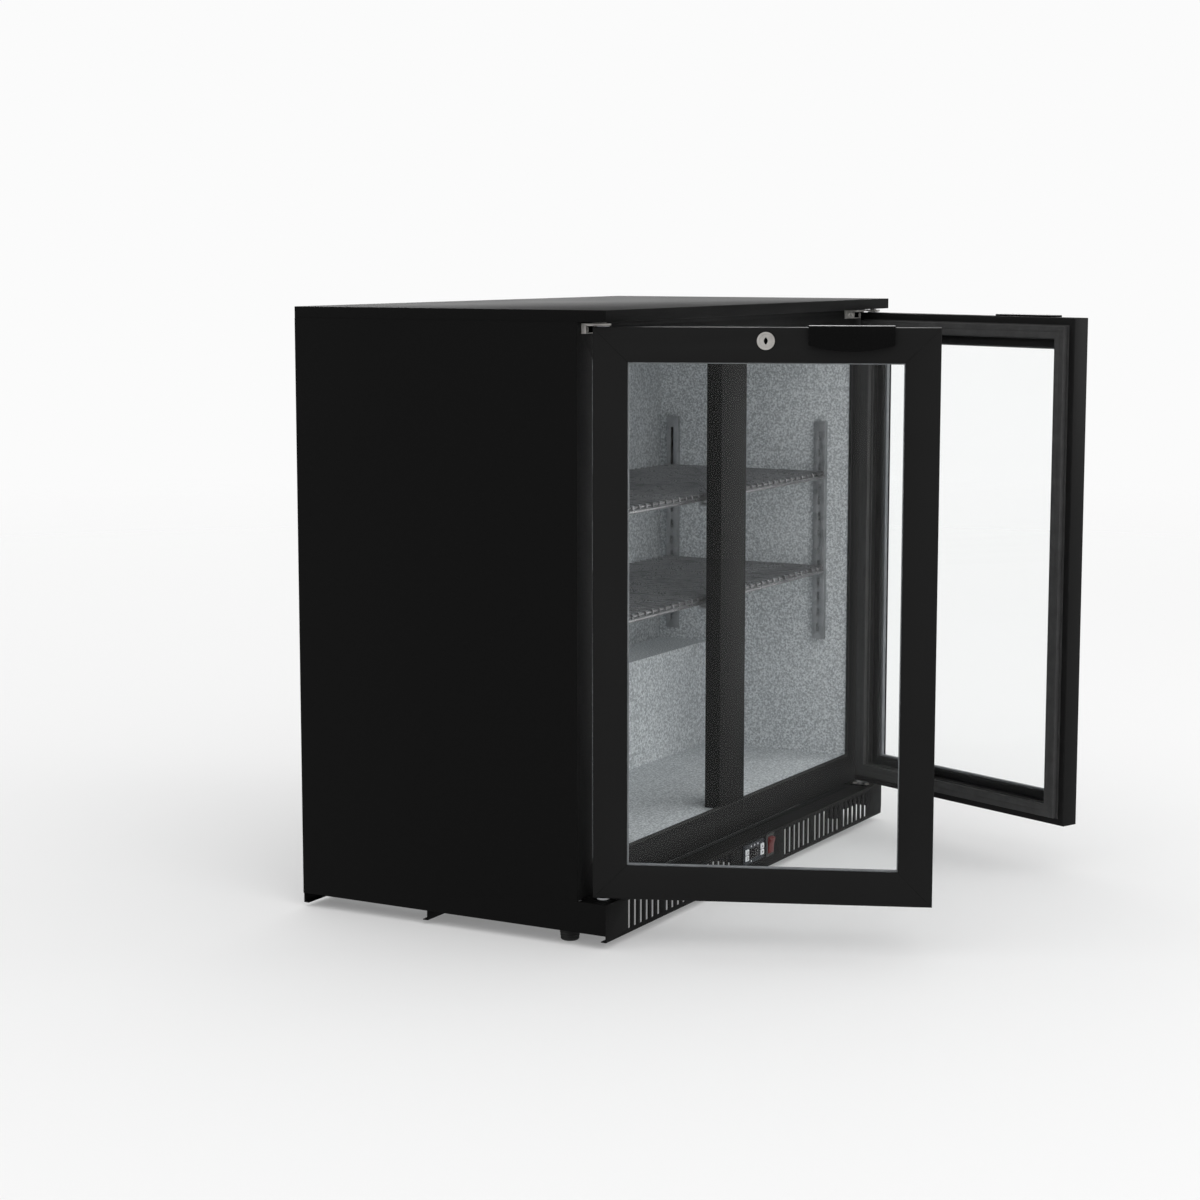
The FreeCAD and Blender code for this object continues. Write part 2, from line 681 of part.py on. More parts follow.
def fan_blade(radius, hub_r, depth, count, pitch_deg):
    """Axial fan wheel about Z, from z = 0 to depth, centred on the origin."""
    hub = Part.makeCylinder(hub_r, depth)
    blades = []
    for i in range(count):
        blade = box(0, radius + 5, -radius * 0.36, radius * 0.36, -0.8, 0.8)
        blade.rotate(Vector(0, 0, 0), Vector(1, 0, 0), pitch_deg)
        blade.translate(Vector(0, 0, depth / 2))
        blade.rotate(Vector(0, 0, 0), Vector(0, 0, 1), i * 360.0 / count)
        blades.append(blade)
    limit = Part.makeCylinder(radius, depth - 1, Vector(0, 0, 0.5))
    wheel = hub
    for blade in blades:
        wheel = wheel.fuse(blade.common(limit))
    return wheel


def turned(shape, axis, at):
    """Moves a shape modelled about Z at the origin so that Z points along axis at a place."""
    shape = shape.copy()
    shape.Placement = FreeCAD.Placement(Vector(at), Rotation(Vector(0, 0, 1), Vector(axis)))
    return shape


def evaporator_fan():
    """Square fan housing with its motor on four arms; the wheel runs inside it."""
    half = FAN_FRAME / 2
    ring = box(-half, half, -half, half, 0, FAN_T)
    ring = ring.cut(Part.makeCylinder(EVAP_FAN_R + 2, FAN_T + 2, Vector(0, 0, -1)))
    motor = Part.makeCylinder(18, 5, Vector(0, 0, FAN_T - 5))
    arms = [box(10, EVAP_FAN_R + 3, -2.5, 2.5, FAN_T - 4, FAN_T) for _ in range(4)]
    for i, arm in enumerate(arms):
        arm.rotate(Vector(0, 0, 0), Vector(0, 0, 1), 45 + 90 * i)
    housing = ring.fuse([motor] + arms)
    shaft = Part.makeCylinder(3, 6, Vector(0, 0, FAN_T - 11))
    return turned(housing.fuse(shaft), (0, 1, 0), (0, DUCT_Y + LINER_T, fan_z()))


def evaporator_blade():
    wheel = fan_blade(EVAP_FAN_R, 18, FAN_T - 9, 7, 28)
    wheel = wheel.cut(Part.makeCylinder(3 + RUN_CLEAR, 8, Vector(0, 0, FAN_T - 14)))
    return turned(wheel, (0, 1, 0), (0, DUCT_Y + LINER_T + 2, fan_z()))


def finned_coil(length, depth, height, rows, columns):
    """Tubes along X through upright fins, from the origin."""
    tubes = []
    for r in range(rows):
        for c in range(columns):
            y = depth * (c + 0.5) / columns
            z = height * (r + 0.5) / rows
            tubes.append(rod(TUBE_R, (0, y, z), (length, y, z)))
    count = int((length - 20) // FIN_PITCH)
    holes = Part.makeCompound(tubes)
    fin = box(10, 10 + FIN_T, 0, depth, 0, height).cut(holes)
    return tubes + [fin.translated(Vector(i * FIN_PITCH, 0, 0)) for i in range(count + 1)]


def evaporator_coil():
    length = 2 * (IN_X - COIL_MARGIN)
    pieces = finned_coil(length, DUCT_GAP - 14, COIL_H, 5, 2)
    at = Vector(-length / 2, DUCT_Y + LINER_T + 5, HEAD_Z - COIL_DROP - COIL_H)
    return [piece.translated(at) for piece in pieces]


# Machine compartment

def drain_place():
    return Vector(LEFT + 150, IN_BACK - DUCT_GAP / 2, 0)


def pipe_place():
    """The riser stands beside the evaporator and its drip tray."""
    return Vector(IN_X - COIL_MARGIN + 33, IN_BACK - DUCT_GAP / 2, 0)


def cut_passages(shape):
    """Holes for the drain tube and the riser pipe through the raised part of the liner."""
    drain, riser = drain_place(), pipe_place()
    up = Vector(0, 0, 1)
    low, high = MACHINE_TOP - 2, STEP_Z + 2
    shape = shape.cut(Part.makeCylinder(DRAIN_R, high - low, drain + up * low))
    return shape.cut(Part.makeCylinder(PIPE_R, high - low, riser + up * low))


def drain_parts():
    """Drip tray under the evaporator, its drain tube, and the tray that it empties into."""
    length = IN_X - COIL_MARGIN + 20
    top = HEAD_Z - COIL_DROP - COIL_H - 4
    tray = hollow_tray(-length, length, DUCT_Y + LINER_T + 1, IN_BACK - 1, top - 14, top, TRAY_T)
    spot = drain_place()
    tube = rod(DRAIN_R, spot + Vector(0, 0, TRAY_TOP + 40), spot + Vector(0, 0, top - 14))
    y0, y1 = MACHINE_Y + 20, BACK - 20
    pan = hollow_tray(LEFT + 60, LEFT + 210, y0, y1, TRAY_TOP, TRAY_TOP + 30, TRAY_T)
    return [tray, tube, pan]


def condenser_coil():
    """Upright coil that the fan draws air through, along X."""
    height = MACHINE_TOP - TRAY_TOP - 24
    depth = MACHINE_DEPTH - 2.5 * CONDENSER_MARGIN
    pieces = finned_coil(depth, COIL_DEPTH, height, 6, 2)
    at = Vector(LEFT + CONDENSER_X, MACHINE_Y + CONDENSER_MARGIN, TRAY_TOP)
    coil = []
    for piece in pieces:
        piece = piece.copy()
        piece.rotate(Vector(0, 0, 0), Vector(0, 0, 1), 90)
        coil.append(piece.translated(at))
    return coil


def condenser_fan_centre():
    y = MACHINE_Y + MACHINE_DEPTH / 2 - CONDENSER_MARGIN / 4
    return Vector(LEFT + CONDENSER_X + 14, y, TRAY_TOP + 90)


def condenser_fan_motor():
    """Shroud plate with a motor on three arms."""
    centre = condenser_fan_centre()
    x0 = centre.x - 10
    y0, y1 = centre.y - COND_FAN_R - 2, centre.y + COND_FAN_R + 2
    plate = box(x0, x0 + 2, y0, y1, TRAY_TOP, MACHINE_TOP - 30)
    hole = rod(COND_FAN_R - 2, centre - Vector(12, 0, 0), centre)
    foot = box(x0, x0 + 18, y0, y1, TRAY_TOP, TRAY_TOP + 2)
    motor = rod(26, centre + Vector(22, 0, 0), centre + Vector(62, 0, 0))
    shaft = rod(3, centre + Vector(12, 0, 0), centre + Vector(22, 0, 0))
    bracket = plate.cut(hole).fuse([foot, motor, shaft])
    for dy, dz in ((0, -1), (1, 0.6), (-1, 0.6)):
        root = centre + Vector(0, dy * (COND_FAN_R - 6), dz * (COND_FAN_R + 4))
        outer = root - Vector(9, 0, 0)
        start = root + Vector(30, 0, 0)
        inner = centre + Vector(30, dy * 18, dz * 18)
        bracket = bracket.fuse([rod(2.5, outer, start), rod(2.5, start, inner)])
    return bracket


def condenser_blade():
    centre = condenser_fan_centre()
    wheel = fan_blade(COND_FAN_R - 8, 16, 16, 5, 30)
    wheel = wheel.cut(Part.makeCylinder(3 + RUN_CLEAR, 12, Vector(0, 0, 8)))
    return turned(wheel, (1, 0, 0), centre + Vector(2, 0, 0))


def compressor_centre():
    return Vector(60, MACHINE_Y + MACHINE_DEPTH / 2, TRAY_TOP + MOUNT_H)


def mount_places():
    """Corners of the compressor's base, from its centre."""
    y = COMPRESSOR_R - 12
    return [(-76, -y), (-76, y), (76, -y), (76, y)]


def compressor():
    """Hermetic shell on a base plate, with its terminal box and pipe stubs."""
    at = compressor_centre()
    shell = Part.makeCylinder(COMPRESSOR_R, COMPRESSOR_H, Vector(0, 0, 3))
    shell = shell.makeFillet(26, [e for e in shell.Edges if e.Length > COMPRESSOR_R * 6])
    belt = Part.makeCylinder(COMPRESSOR_R + 2, 6, Vector(0, 0, COMPRESSOR_H * 0.52))
    base = box(-86, 86, 2 - COMPRESSOR_R, COMPRESSOR_R - 2, 0, 3)
    block = box(-COMPRESSOR_R - 22, -COMPRESSOR_R + 12, -26, 26, 50, 110)
    reach = COMPRESSOR_R + 14
    suction_y = pipe_place().y - at.y
    stubs = [rod(5, (40, y, z), (reach, y, z)) for y, z in ((0, 80), (suction_y, 60))]
    holes = [Part.makeCylinder(5, 5, Vector(x, y, -1)) for x, y in mount_places()]
    body = shell.fuse([belt, base, block] + stubs).cut(holes)
    return body.translated(at)


def compressor_mounts():
    """Rubber grommets between the tray and the compressor's base."""
    at = compressor_centre()
    mount = Part.makeCylinder(9, MOUNT_H).fuse(Part.makeCylinder(5, MOUNT_H + 3))
    return [mount.translated(Vector(at.x + x, at.y + y, TRAY_TOP)) for x, y in mount_places()]


def refrigerant_pipes():
    """Discharge pipe to the condenser, liquid line to the drier, and the riser to the coil."""
    at = compressor_centre()
    riser = pipe_place()
    coil_x = LEFT + CONDENSER_X - COIL_DEPTH / 2
    rear = BACK - 14
    top = MACHINE_TOP - 12
    coil_z = HEAD_Z - COIL_DROP - COIL_H / 2
    out_x = at.x + COMPRESSOR_R + 14
    discharge = [
        (out_x, at.y, at.z + 80), (out_x + 20, at.y, at.z + 80), (out_x + 20, rear, at.z + 80),
        (out_x + 20, rear, top), (coil_x, rear, top), (coil_x, rear, top - 20),
    ]
    suction = [
        (out_x, riser.y, at.z + 60), (riser.x, riser.y, at.z + 60),
        (riser.x, riser.y, coil_z), (IN_X - COIL_MARGIN, riser.y, coil_z),
    ]
    feed_z = MACHINE_TOP - 34
    feed = [
        (riser.x - 60, MACHINE_Y + 20, TRAY_TOP + 104), (riser.x - 60, MACHINE_Y + 20, feed_z),
        (riser.x - 60, riser.y - 12, feed_z), (riser.x - 12, riser.y - 12, feed_z),
    ]
    return [pipe(discharge, PIPE_R, 8), pipe(suction, PIPE_R, 8), pipe(feed, 2.0, 8)]


def filter_drier():
    """Copper drier standing in its clip at the front of the machine compartment."""
    x, y = pipe_place().x - 60, MACHINE_Y + 20
    body = rod(9, (x, y, TRAY_TOP + 24), (x, y, TRAY_TOP + 86))
    neck = Part.makeCone(9, 2.6, 18, Vector(x, y, TRAY_TOP + 86))
    foot = Part.makeCone(3.2, 9, 18, Vector(x, y, TRAY_TOP + 6))
    stub = rod(3.2, (x, y, TRAY_TOP), (x, y, TRAY_TOP + 6))
    return body.fuse([neck, foot, stub])


# Controls in the plinth

def control_box(width, height, y0, y1):
    return box(
        CONTROL_X - width / 2, CONTROL_X + width / 2, y0, y1,
        CONTROL_Z - height / 2, CONTROL_Z + height / 2,
    )


def rocker_box(width, height, y0, y1):
    return box(
        ROCKER_X - width / 2, ROCKER_X + width / 2, y0, y1,
        CONTROL_Z - height / 2, CONTROL_Z + height / 2,
    )


def button_places():
    """Centres of the four keys: two beside each end of the display."""
    dx = CONTROL_W / 2 - BUTTON_EDGE - BUTTON_W / 2
    dz = (BUTTON_H + BUTTON_SPLIT) / 2
    names = ("set_button", "power_button", "up_button", "down_button")
    spots = [(-dx, dz), (-dx, -dz), (dx, dz), (dx, -dz)]
    return [(name, CONTROL_X + x, CONTROL_Z + z) for name, (x, z) in zip(names, spots)]


def window_box(y0, y1):
    half = CONTROL_W / 2 - BUTTON_W - 2 * BUTTON_EDGE
    return box(
        CONTROL_X - half, CONTROL_X + half, y0, y1, CONTROL_Z - WINDOW_H / 2, CONTROL_Z + WINDOW_H / 2
    )


def controller_case():
    """Bezel over the cut-out and the electronics box behind it, with wells for the keys."""
    bezel = control_box(CONTROL_W, CONTROL_H, FRONT - BEZEL_T, FRONT)
    bezel = bezel.makeFillet(1.0, [e for e in bezel.Edges if e.BoundBox.YMax < FRONT - BEZEL_T + 0.01])
    body = control_box(CONTROL_W - 4, CONTROL_H - 4, FRONT, FRONT + CONTROL_BODY)
    case = bezel.fuse(body).removeSplitter()
    half_w, half_h = BUTTON_W / 2 + BUTTON_GAP, BUTTON_H / 2 + BUTTON_GAP
    floor = FRONT + BUTTON_TAIL + 3 * BUTTON_TRAVEL
    for _, x, z in button_places():
        well = box(x - half_w, x + half_w, FRONT - BEZEL_T - 1, floor, z - half_h, z + half_h)
        case = case.cut(well)
    return case.cut(window_box(FRONT - BEZEL_T - 1, FRONT - 1.0))


def display_lens():
    """Dark window, a little behind the face of its bezel."""
    return window_box(FRONT - BEZEL_T + 0.3, FRONT - 1.0)


def control_button(x, z):
    half_w, half_h = BUTTON_W / 2, BUTTON_H / 2
    front = FRONT - BEZEL_T - BUTTON_PROUD
    key = box(x - half_w, x + half_w, front, FRONT + BUTTON_TAIL, z - half_h, z + half_h)
    return key.makeFillet(0.6, [e for e in key.Edges if e.BoundBox.YMax < front + 0.01])


def rocker_housing():
    rim = rocker_box(ROCKER_W, ROCKER_H, FRONT - 2.5, FRONT)
    rim = rim.makeFillet(0.8, [e for e in rim.Edges if e.BoundBox.YMax < FRONT - 2.49])
    body = rocker_box(ROCKER_W - 4, ROCKER_H - 4, FRONT, FRONT + 22)
    case = rim.fuse(body).removeSplitter()
    well = rocker_box(ROCKER_W - 7, ROCKER_H - 7, FRONT - 4, FRONT + 18)
    return case.cut(well)


def rocker():
    """Two-faced key that tips about X on its middle; at rest its lower half is pressed in."""
    radius = (ROCKER_H - 7) / 2 - 0.5
    width = ROCKER_W - 7 - 1.0
    x0, x1 = ROCKER_X - width / 2, ROCKER_X + width / 2
    drum = rod(radius, (x0, FRONT, CONTROL_Z), (x1, FRONT, CONTROL_Z))
    rise = radius * math.tan(math.radians(ROCKER_TILT))
    keep = prism_x(
        [
            (FRONT - 4.2 - rise, CONTROL_Z + radius + 1), (FRONT - 4.2, CONTROL_Z),
            (FRONT - 4.2 - rise, CONTROL_Z - radius - 1), (FRONT + 9, CONTROL_Z - radius - 1),
            (FRONT + 9, CONTROL_Z + radius + 1),
        ],
        ROCKER_X - width, ROCKER_X + width,
    )
    key = drum.common(keep)
    key.rotate(Vector(ROCKER_X, FRONT, CONTROL_Z), Vector(1, 0, 0), ROCKER_TILT)
    return key


# Hinges

def hinge_brackets():
    """Angle leaves under the top panel and plates on the plinth's ledge."""
    under = DOOR_Z1 + LEAF_GAP
    top = under + LEAF_T
    leaf = box(
        PIVOT.x - 10, PIVOT.x - 10 + LEAF_W, FACE_Y - LEAF_T, FACE_Y, top - LEAF_H, top
    )
    arm = box(PIVOT.x - 10, PIVOT.x + 12, PIVOT.y, FACE_Y, under, top)
    nose = Part.makeCylinder(10, LEAF_T, Vector(PIVOT.x, PIVOT.y, under))
    upper = leaf.fuse([arm, nose]).removeSplitter()
    upper = drilled(upper.cut(pin_bar(under - 1, top + 1)), leaf_screws())
    plate = box(PIVOT.x - 10, PIVOT.x + 26, PIVOT.y - 12, FACE_Y, LEDGE, LEDGE + PLATE_T)
    lower = drilled(plate.cut(pin_bar(LEDGE - 1, LEDGE + PLATE_T + 1)), plate_screws())
    return both_sides(upper) + both_sides(lower)


def pin_bar(z0, z1, radius=PIN_R):
    return rod(radius, (PIVOT.x, PIVOT.y, z0), (PIVOT.x, PIVOT.y, z1))


def hinge_pins():
    top = DOOR_Z1 + LEAF_GAP + LEAF_T
    upper = pin_bar(DOOR_Z1 - PIN_DEPTH, top).fuse(pin_bar(top, top + 1, PIN_R + 1.5))
    lower = pin_bar(LEDGE, DOOR_Z0 + PIN_DEPTH)
    return both_sides(upper) + both_sides(lower)


# Doors, built closed on the left and turned open about the hinge pins

def door_frame():
    """Moulded frame: box section, sloped inner lip, rebate for the glass, pockets for the fittings."""
    y0, y1 = DOOR_Y0, DOOR_Y1
    frame = mitred_ring(
        DOOR_X0, DOOR_X1, DOOR_Z0, DOOR_Z1,
        [
            (0, y0 + EDGE), (EDGE, y0), (STILE_FLAT, y0), (SIGHT, y0 + LIP_SLOPE), (SIGHT, PANE_Y),
            (STILE, PANE_Y), (STILE, y1), (EDGE, y1), (0, y1 - EDGE),
        ],
    )
    cuts = [
        pin_bar(DOOR_Z0 - 1, DOOR_Z0 + PIN_DEPTH + 2, BUSH_R),
        pin_bar(DOOR_Z1 - PIN_DEPTH - 2, DOOR_Z1 + 1, BUSH_R),
        lock_bar(LOCK_BODY_R, y0 - 1, DOOR_Y0 + LOCK_DEPTH),
        box(
            LOCK_X - PLUG_R - 0.6, LOCK_X + CAM_REACH + 2, DOOR_Y0 + LOCK_DEPTH,
            CAM_Y + CAM_T + 1.0, LOCK_Z - PLUG_R - 0.6, DOOR_Z1 + 1,
        ),
    ]
    return frame.cut(cuts)


def glass_panes():
    edge = STILE + GLASS_CLEAR
    x0, x1, z0, z1 = DOOR_X0 + edge, DOOR_X1 - edge, DOOR_Z0 + edge, DOOR_Z1 - edge
    return [box(x0, x1, y, y + GLASS_T, z0, z1) for y in (PANE_Y, INNER_PANE_Y)]


def glass_spacer():
    inner = SIGHT + SPACER_SHOW
    y0, y1 = PANE_Y + GLASS_T, INNER_PANE_Y
    outline = [(inner - SPACER_W, y0), (inner, y0), (inner, y1), (inner - SPACER_W, y1)]
    return mitred_ring(DOOR_X0, DOOR_X1, DOOR_Z0, DOOR_Z1, outline)


def glazing_bead():
    y0, y1 = BEAD_Y, BEAD_Y + BEAD_T
    outline = [(STILE, y0), (SIGHT, y0), (SIGHT, y0 + 1.5), (SIGHT - 2, y1), (STILE, y1)]
    return mitred_ring(DOOR_X0, DOOR_X1, DOOR_Z0, DOOR_Z1, outline)


def door_gasket():
    """Magnetic gasket: a flat foot on the door and a narrower bulb that meets the face frame."""
    a, b = GASKET_INSET, GASKET_INSET + GASKET_W
    foot, tip = DOOR_Y1, FACE_Y - GASKET_GAP
    waist = foot + (tip - foot) * 0.35
    outline = [
        (a, foot), (b, foot), (b, waist - 1), (b - 2.5, waist), (b - 2.5, tip - 1.5), (b - 4, tip),
        (a + 4, tip), (a + 2.5, tip - 1.5), (a + 2.5, waist), (a, waist - 1),
    ]
    return mitred_ring(DOOR_X0, DOOR_X1, DOOR_Z0, DOOR_Z1, outline)


def hinge_bushes():
    """Flanged bushes in the top and bottom of the door, running on the pins."""
    bore = PIN_R + RUN_CLEAR
    low = LEDGE + PLATE_T + 0.3
    top_flange = pin_bar(DOOR_Z1, DOOR_Z1 + 1, BUSH_FLANGE_R)
    low_flange = pin_bar(low, DOOR_Z0, BUSH_FLANGE_R)
    top = pin_bar(DOOR_Z1 - PIN_DEPTH - 2, DOOR_Z1, BUSH_R).fuse(top_flange)
    bottom = pin_bar(DOOR_Z0, DOOR_Z0 + PIN_DEPTH + 2, BUSH_R).fuse(low_flange)
    top = top.cut(pin_bar(DOOR_Z1 - PIN_DEPTH - 1, DOOR_Z1 + 2, bore))
    return [top, bottom.cut(pin_bar(low - 1, DOOR_Z0 + PIN_DEPTH + 1, bore))]


def handle():
    """Bowed grip that hooks over the top edge of the door, hollow behind for the fingers."""
    x1 = DOOR_X1 - HANDLE_FREE_GAP
    x0 = x1 - HANDLE_W
    top = DOOR_Z1 + HANDLE_RISE
    low = DOOR_Z1 - HANDLE_DROP
    outer = bowed_block(x0, x1, DOOR_Y0, HANDLE_END_OUT, HANDLE_OUT, low - HANDLE_BELLY - 5, top)
    wall = HANDLE_WALL
    hollow = bowed_block(
        x0 + wall, x1 - wall, DOOR_Y0, HANDLE_END_OUT - wall, HANDLE_OUT - wall,
        low - HANDLE_BELLY - 10, top - wall - HANDLE_RISE,
    )
    bottom = Part.Arc(
        Vector(x0, 0, low), Vector((x0 + x1) / 2, 0, low - HANDLE_BELLY), Vector(x1, 0, low)
    ).toShape()
    corners = ((x1, low), (x1, top), (x0, top), (x0, low))
    lines = Part.makePolygon([Vector(x, 0, z) for x, z in corners])
    outline = Part.Face(Part.Wire([bottom] + lines.Edges))
    front_view = outline.extrude(Vector(0, DEPTH, 0))
    front_view.translate(Vector(0, DOOR_Y0 - HANDLE_OUT - 1, 0))
    grip = outer.cut(hollow).common(front_view)
    hook = box(x0, x1, DOOR_Y0, DOOR_Y0 + HANDLE_HOOK, DOOR_Z1, top)
    return grip.fuse(hook).removeSplitter()


def bowed_block(x0, x1, y, end_out, mid_out, z0, z1):
    """Block whose front bows out in plan, from end_out at its ends to mid_out in the middle."""
    bow = Part.Arc(
        Vector(x0, y - end_out, z0), Vector((x0 + x1) / 2, y - mid_out, z0), Vector(x1, y - end_out, z0)
    ).toShape()
    rest = Part.makePolygon(
        [Vector(x1, y - end_out, z0), Vector(x1, y, z0), Vector(x0, y, z0), Vector(x0, y - end_out, z0)]
    )
    return Part.Face(Part.Wire([bow] + rest.Edges)).extrude(Vector(0, 0, z1 - z0))


def lock_bar(radius, y0, y1):
    return rod(radius, (LOCK_X, y0, LOCK_Z), (LOCK_X, y1, LOCK_Z))


def lock_housing():
    flange = lock_bar(LOCK_R, DOOR_Y0 - LOCK_PROUD, DOOR_Y0)
    front = [e for e in flange.Edges if e.BoundBox.YMax < DOOR_Y0 - LOCK_PROUD + 0.01]
    flange = flange.makeFillet(0.8, front)
    body = flange.fuse(lock_bar(LOCK_BODY_R, DOOR_Y0, DOOR_Y0 + LOCK_DEPTH))
    return body.cut(lock_bar(PLUG_R + RUN_CLEAR, DOOR_Y0 - 3, DOOR_Y0 + LOCK_DEPTH + 1))


def lock_cylinder():
    """Key plug with its upright keyhole, and the cam that it turns in the top rail."""
    front = DOOR_Y0 - LOCK_PROUD + 0.3
    plug = lock_bar(PLUG_R, front, CAM_Y)
    keyhole = box(LOCK_X - 1.1, LOCK_X + 1.1, front - 1, front + 6, LOCK_Z - 4.2, LOCK_Z + 4.2)
    keyhole = keyhole.fuse(lock_bar(2.2, front - 1, front + 6))
    half = CAM_W / 2
    end = LOCK_X + CAM_REACH - half
    cam = box(LOCK_X, end, CAM_Y, CAM_Y + CAM_T, LOCK_Z - half, LOCK_Z + half)
    tip = rod(half, (end, CAM_Y, LOCK_Z), (end, CAM_Y + CAM_T, LOCK_Z))
    root = lock_bar(half + 2, CAM_Y, CAM_Y + CAM_T)
    return [plug.cut(keyhole), cam.fuse([tip, root]).removeSplitter()]


def opened(pieces, side):
    """Turns a closed left-hand door piece open, or its mirror image for the right door."""
    result = []
    for piece in pieces:
        piece = piece.copy()
        piece.rotate(PIVOT, Vector(0, 0, 1), -DOOR_OPEN)
        if side == "right":
            piece = piece.mirror(Vector(0, 0, 0), Vector(1, 0, 0))
        result.append(piece)
    return result


def write(node, pieces):
    """Writes the node's solids to one file."""
    if not isinstance(pieces, list):
        pieces = [pieces]
    solids = [solid for piece in pieces for solid in piece.Solids]
    shape = solids[0] if len(solids) == 1 else Part.makeCompound(solids)
    shape.exportStep("parts/" + node + ".step")


def door_nodes():
    return {
        "door_frame": [door_frame()],
        "glass_panes": glass_panes(),
        "glass_spacer": [glass_spacer()],
        "glazing_bead": [glazing_bead()],
        "door_gasket": [door_gasket()],
        "hinge_bushes": hinge_bushes(),
        "door_handle": [handle()],
        "lock_housing": [lock_housing()],
        "lock_cylinder": lock_cylinder(),
    }


def cabinet_nodes():
    left, right = both_sides(side_panel())
    return {
        "top_panel": top_panel(),
        "left_side_panel": left,
        "right_side_panel": right,
        "back_panel": back_panel(),
        "base_skin": base_skin(),
        "inner_liner": inner_liner(),
        "insulation_foam": insulation(),
        "face_frame": face_frame(),
        "centre_mullion": centre_mullion(),
        "front_grille": front_grille(),
        "base_rails": base_rails(),
        "machine_tray": machine_tray(),
        "rear_vent_cover": rear_vent_cover(),
        "mains_inlet": mains_inlet(),
        "feet": feet(),
        "pilasters": pilasters(),
        "shelf_clips": shelf_clips(),
        "lower_shelves": shelves(SHELF_LEVELS[0]),
        "upper_shelves": shelves(SHELF_LEVELS[1]),
        "duct_panel": duct_panel(),
        "evaporator_fan_motor": evaporator_fan(),
        "evaporator_fan_blade": evaporator_blade(),
        "evaporator_coil": evaporator_coil(),
        "drain_parts": drain_parts(),
        "condenser_coil": condenser_coil(),
        "condenser_fan_motor": condenser_fan_motor(),
        "condenser_fan_blade": condenser_blade(),
        "compressor": compressor(),
        "compressor_mounts": compressor_mounts(),
        "refrigerant_pipes": refrigerant_pipes(),
        "filter_drier": filter_drier(),
        "controller_case": controller_case(),
        "display_lens": display_lens(),
        "rocker_housing": rocker_housing(),
        "rocker_switch": rocker(),
        "hinge_brackets": hinge_brackets(),
        "hinge_pins": hinge_pins(),
        "screws": screws(),
    }


def main():
    os.makedirs("parts", exist_ok=True)
    for node, pieces in cabinet_nodes().items():
        write(node, pieces)
    for node, x, z in button_places():
        write(node, control_button(x, z))
    door = door_nodes()
    for side in ("left", "right"):
        for node, pieces in door.items():
            write(side + "_" + node, opened(pieces, side))


main()
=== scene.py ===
"""Finished look of a two-door bottle cooler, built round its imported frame.

Lengths are metres in the frame's own space: +X to the right, +Y to the back, +Z up.
"""

import json
import math

import bmesh
import bpy
from mathutils import Matrix, Vector

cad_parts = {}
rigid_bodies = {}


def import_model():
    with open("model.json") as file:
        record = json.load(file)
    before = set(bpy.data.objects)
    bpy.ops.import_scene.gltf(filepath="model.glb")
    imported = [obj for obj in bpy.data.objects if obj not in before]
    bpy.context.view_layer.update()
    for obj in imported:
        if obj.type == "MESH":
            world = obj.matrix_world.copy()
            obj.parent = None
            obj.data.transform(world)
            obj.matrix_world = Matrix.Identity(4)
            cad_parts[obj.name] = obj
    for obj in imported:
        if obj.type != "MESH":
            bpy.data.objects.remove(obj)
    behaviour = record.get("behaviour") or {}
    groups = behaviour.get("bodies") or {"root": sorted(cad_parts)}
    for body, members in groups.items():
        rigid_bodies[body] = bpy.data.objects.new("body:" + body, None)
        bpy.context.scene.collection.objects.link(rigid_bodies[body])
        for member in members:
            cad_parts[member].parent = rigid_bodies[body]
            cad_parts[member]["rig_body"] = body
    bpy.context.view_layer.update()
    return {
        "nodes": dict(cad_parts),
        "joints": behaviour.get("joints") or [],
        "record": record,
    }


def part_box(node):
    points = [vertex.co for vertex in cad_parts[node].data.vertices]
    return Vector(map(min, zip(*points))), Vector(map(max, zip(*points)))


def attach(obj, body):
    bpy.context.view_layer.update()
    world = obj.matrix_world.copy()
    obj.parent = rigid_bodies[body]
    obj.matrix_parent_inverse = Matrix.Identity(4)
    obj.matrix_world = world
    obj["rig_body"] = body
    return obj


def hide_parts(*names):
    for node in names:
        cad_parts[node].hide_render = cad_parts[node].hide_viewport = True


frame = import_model()

MM = 0.001
NODES = frame["nodes"]
SLOT_OF = {part["node"]: part["material_slot"] for part in frame["record"]["subparts"]}
JOINTS = {joint["name"]: joint for joint in frame["joints"]}
SIDES = ("left", "right")

# Camera
CAMERA_AT = (-3.2958, -1.8168, 0.8956)
CAMERA_LOOKS = (0.8654, 0.4828, -0.1338)
LENS = 77.97

# Lights
SKY = 0.965
GLOW_WAY = (0.80, 0.58, 0.13)  # what polished faces reflect is brightest this way
GLOW_RANGE = (0.90, 0.995)  # cosine of the angle from it, from dim to bright
GLOW_LEVELS = (0.32, 2.8)
LAMPS = (  # name, place, aim, size, watts
    ("key_panel", (-2.6, -3.4, 3.4), (0.0, -0.2, 0.4), 2.4, 20.0),
    ("inside_fill", (1.4, -2.6, 1.5), (0.1, 0.0, 0.45), 1.2, 8.5),
)
FLOOR_REACH = 12.0
FLOOR_FADE = (0.8, 6.5)
FLOOR_GLOW = 0.20  # share of the floor's brightness that no shadow takes away


# ---------------------------------------------------------------- materials

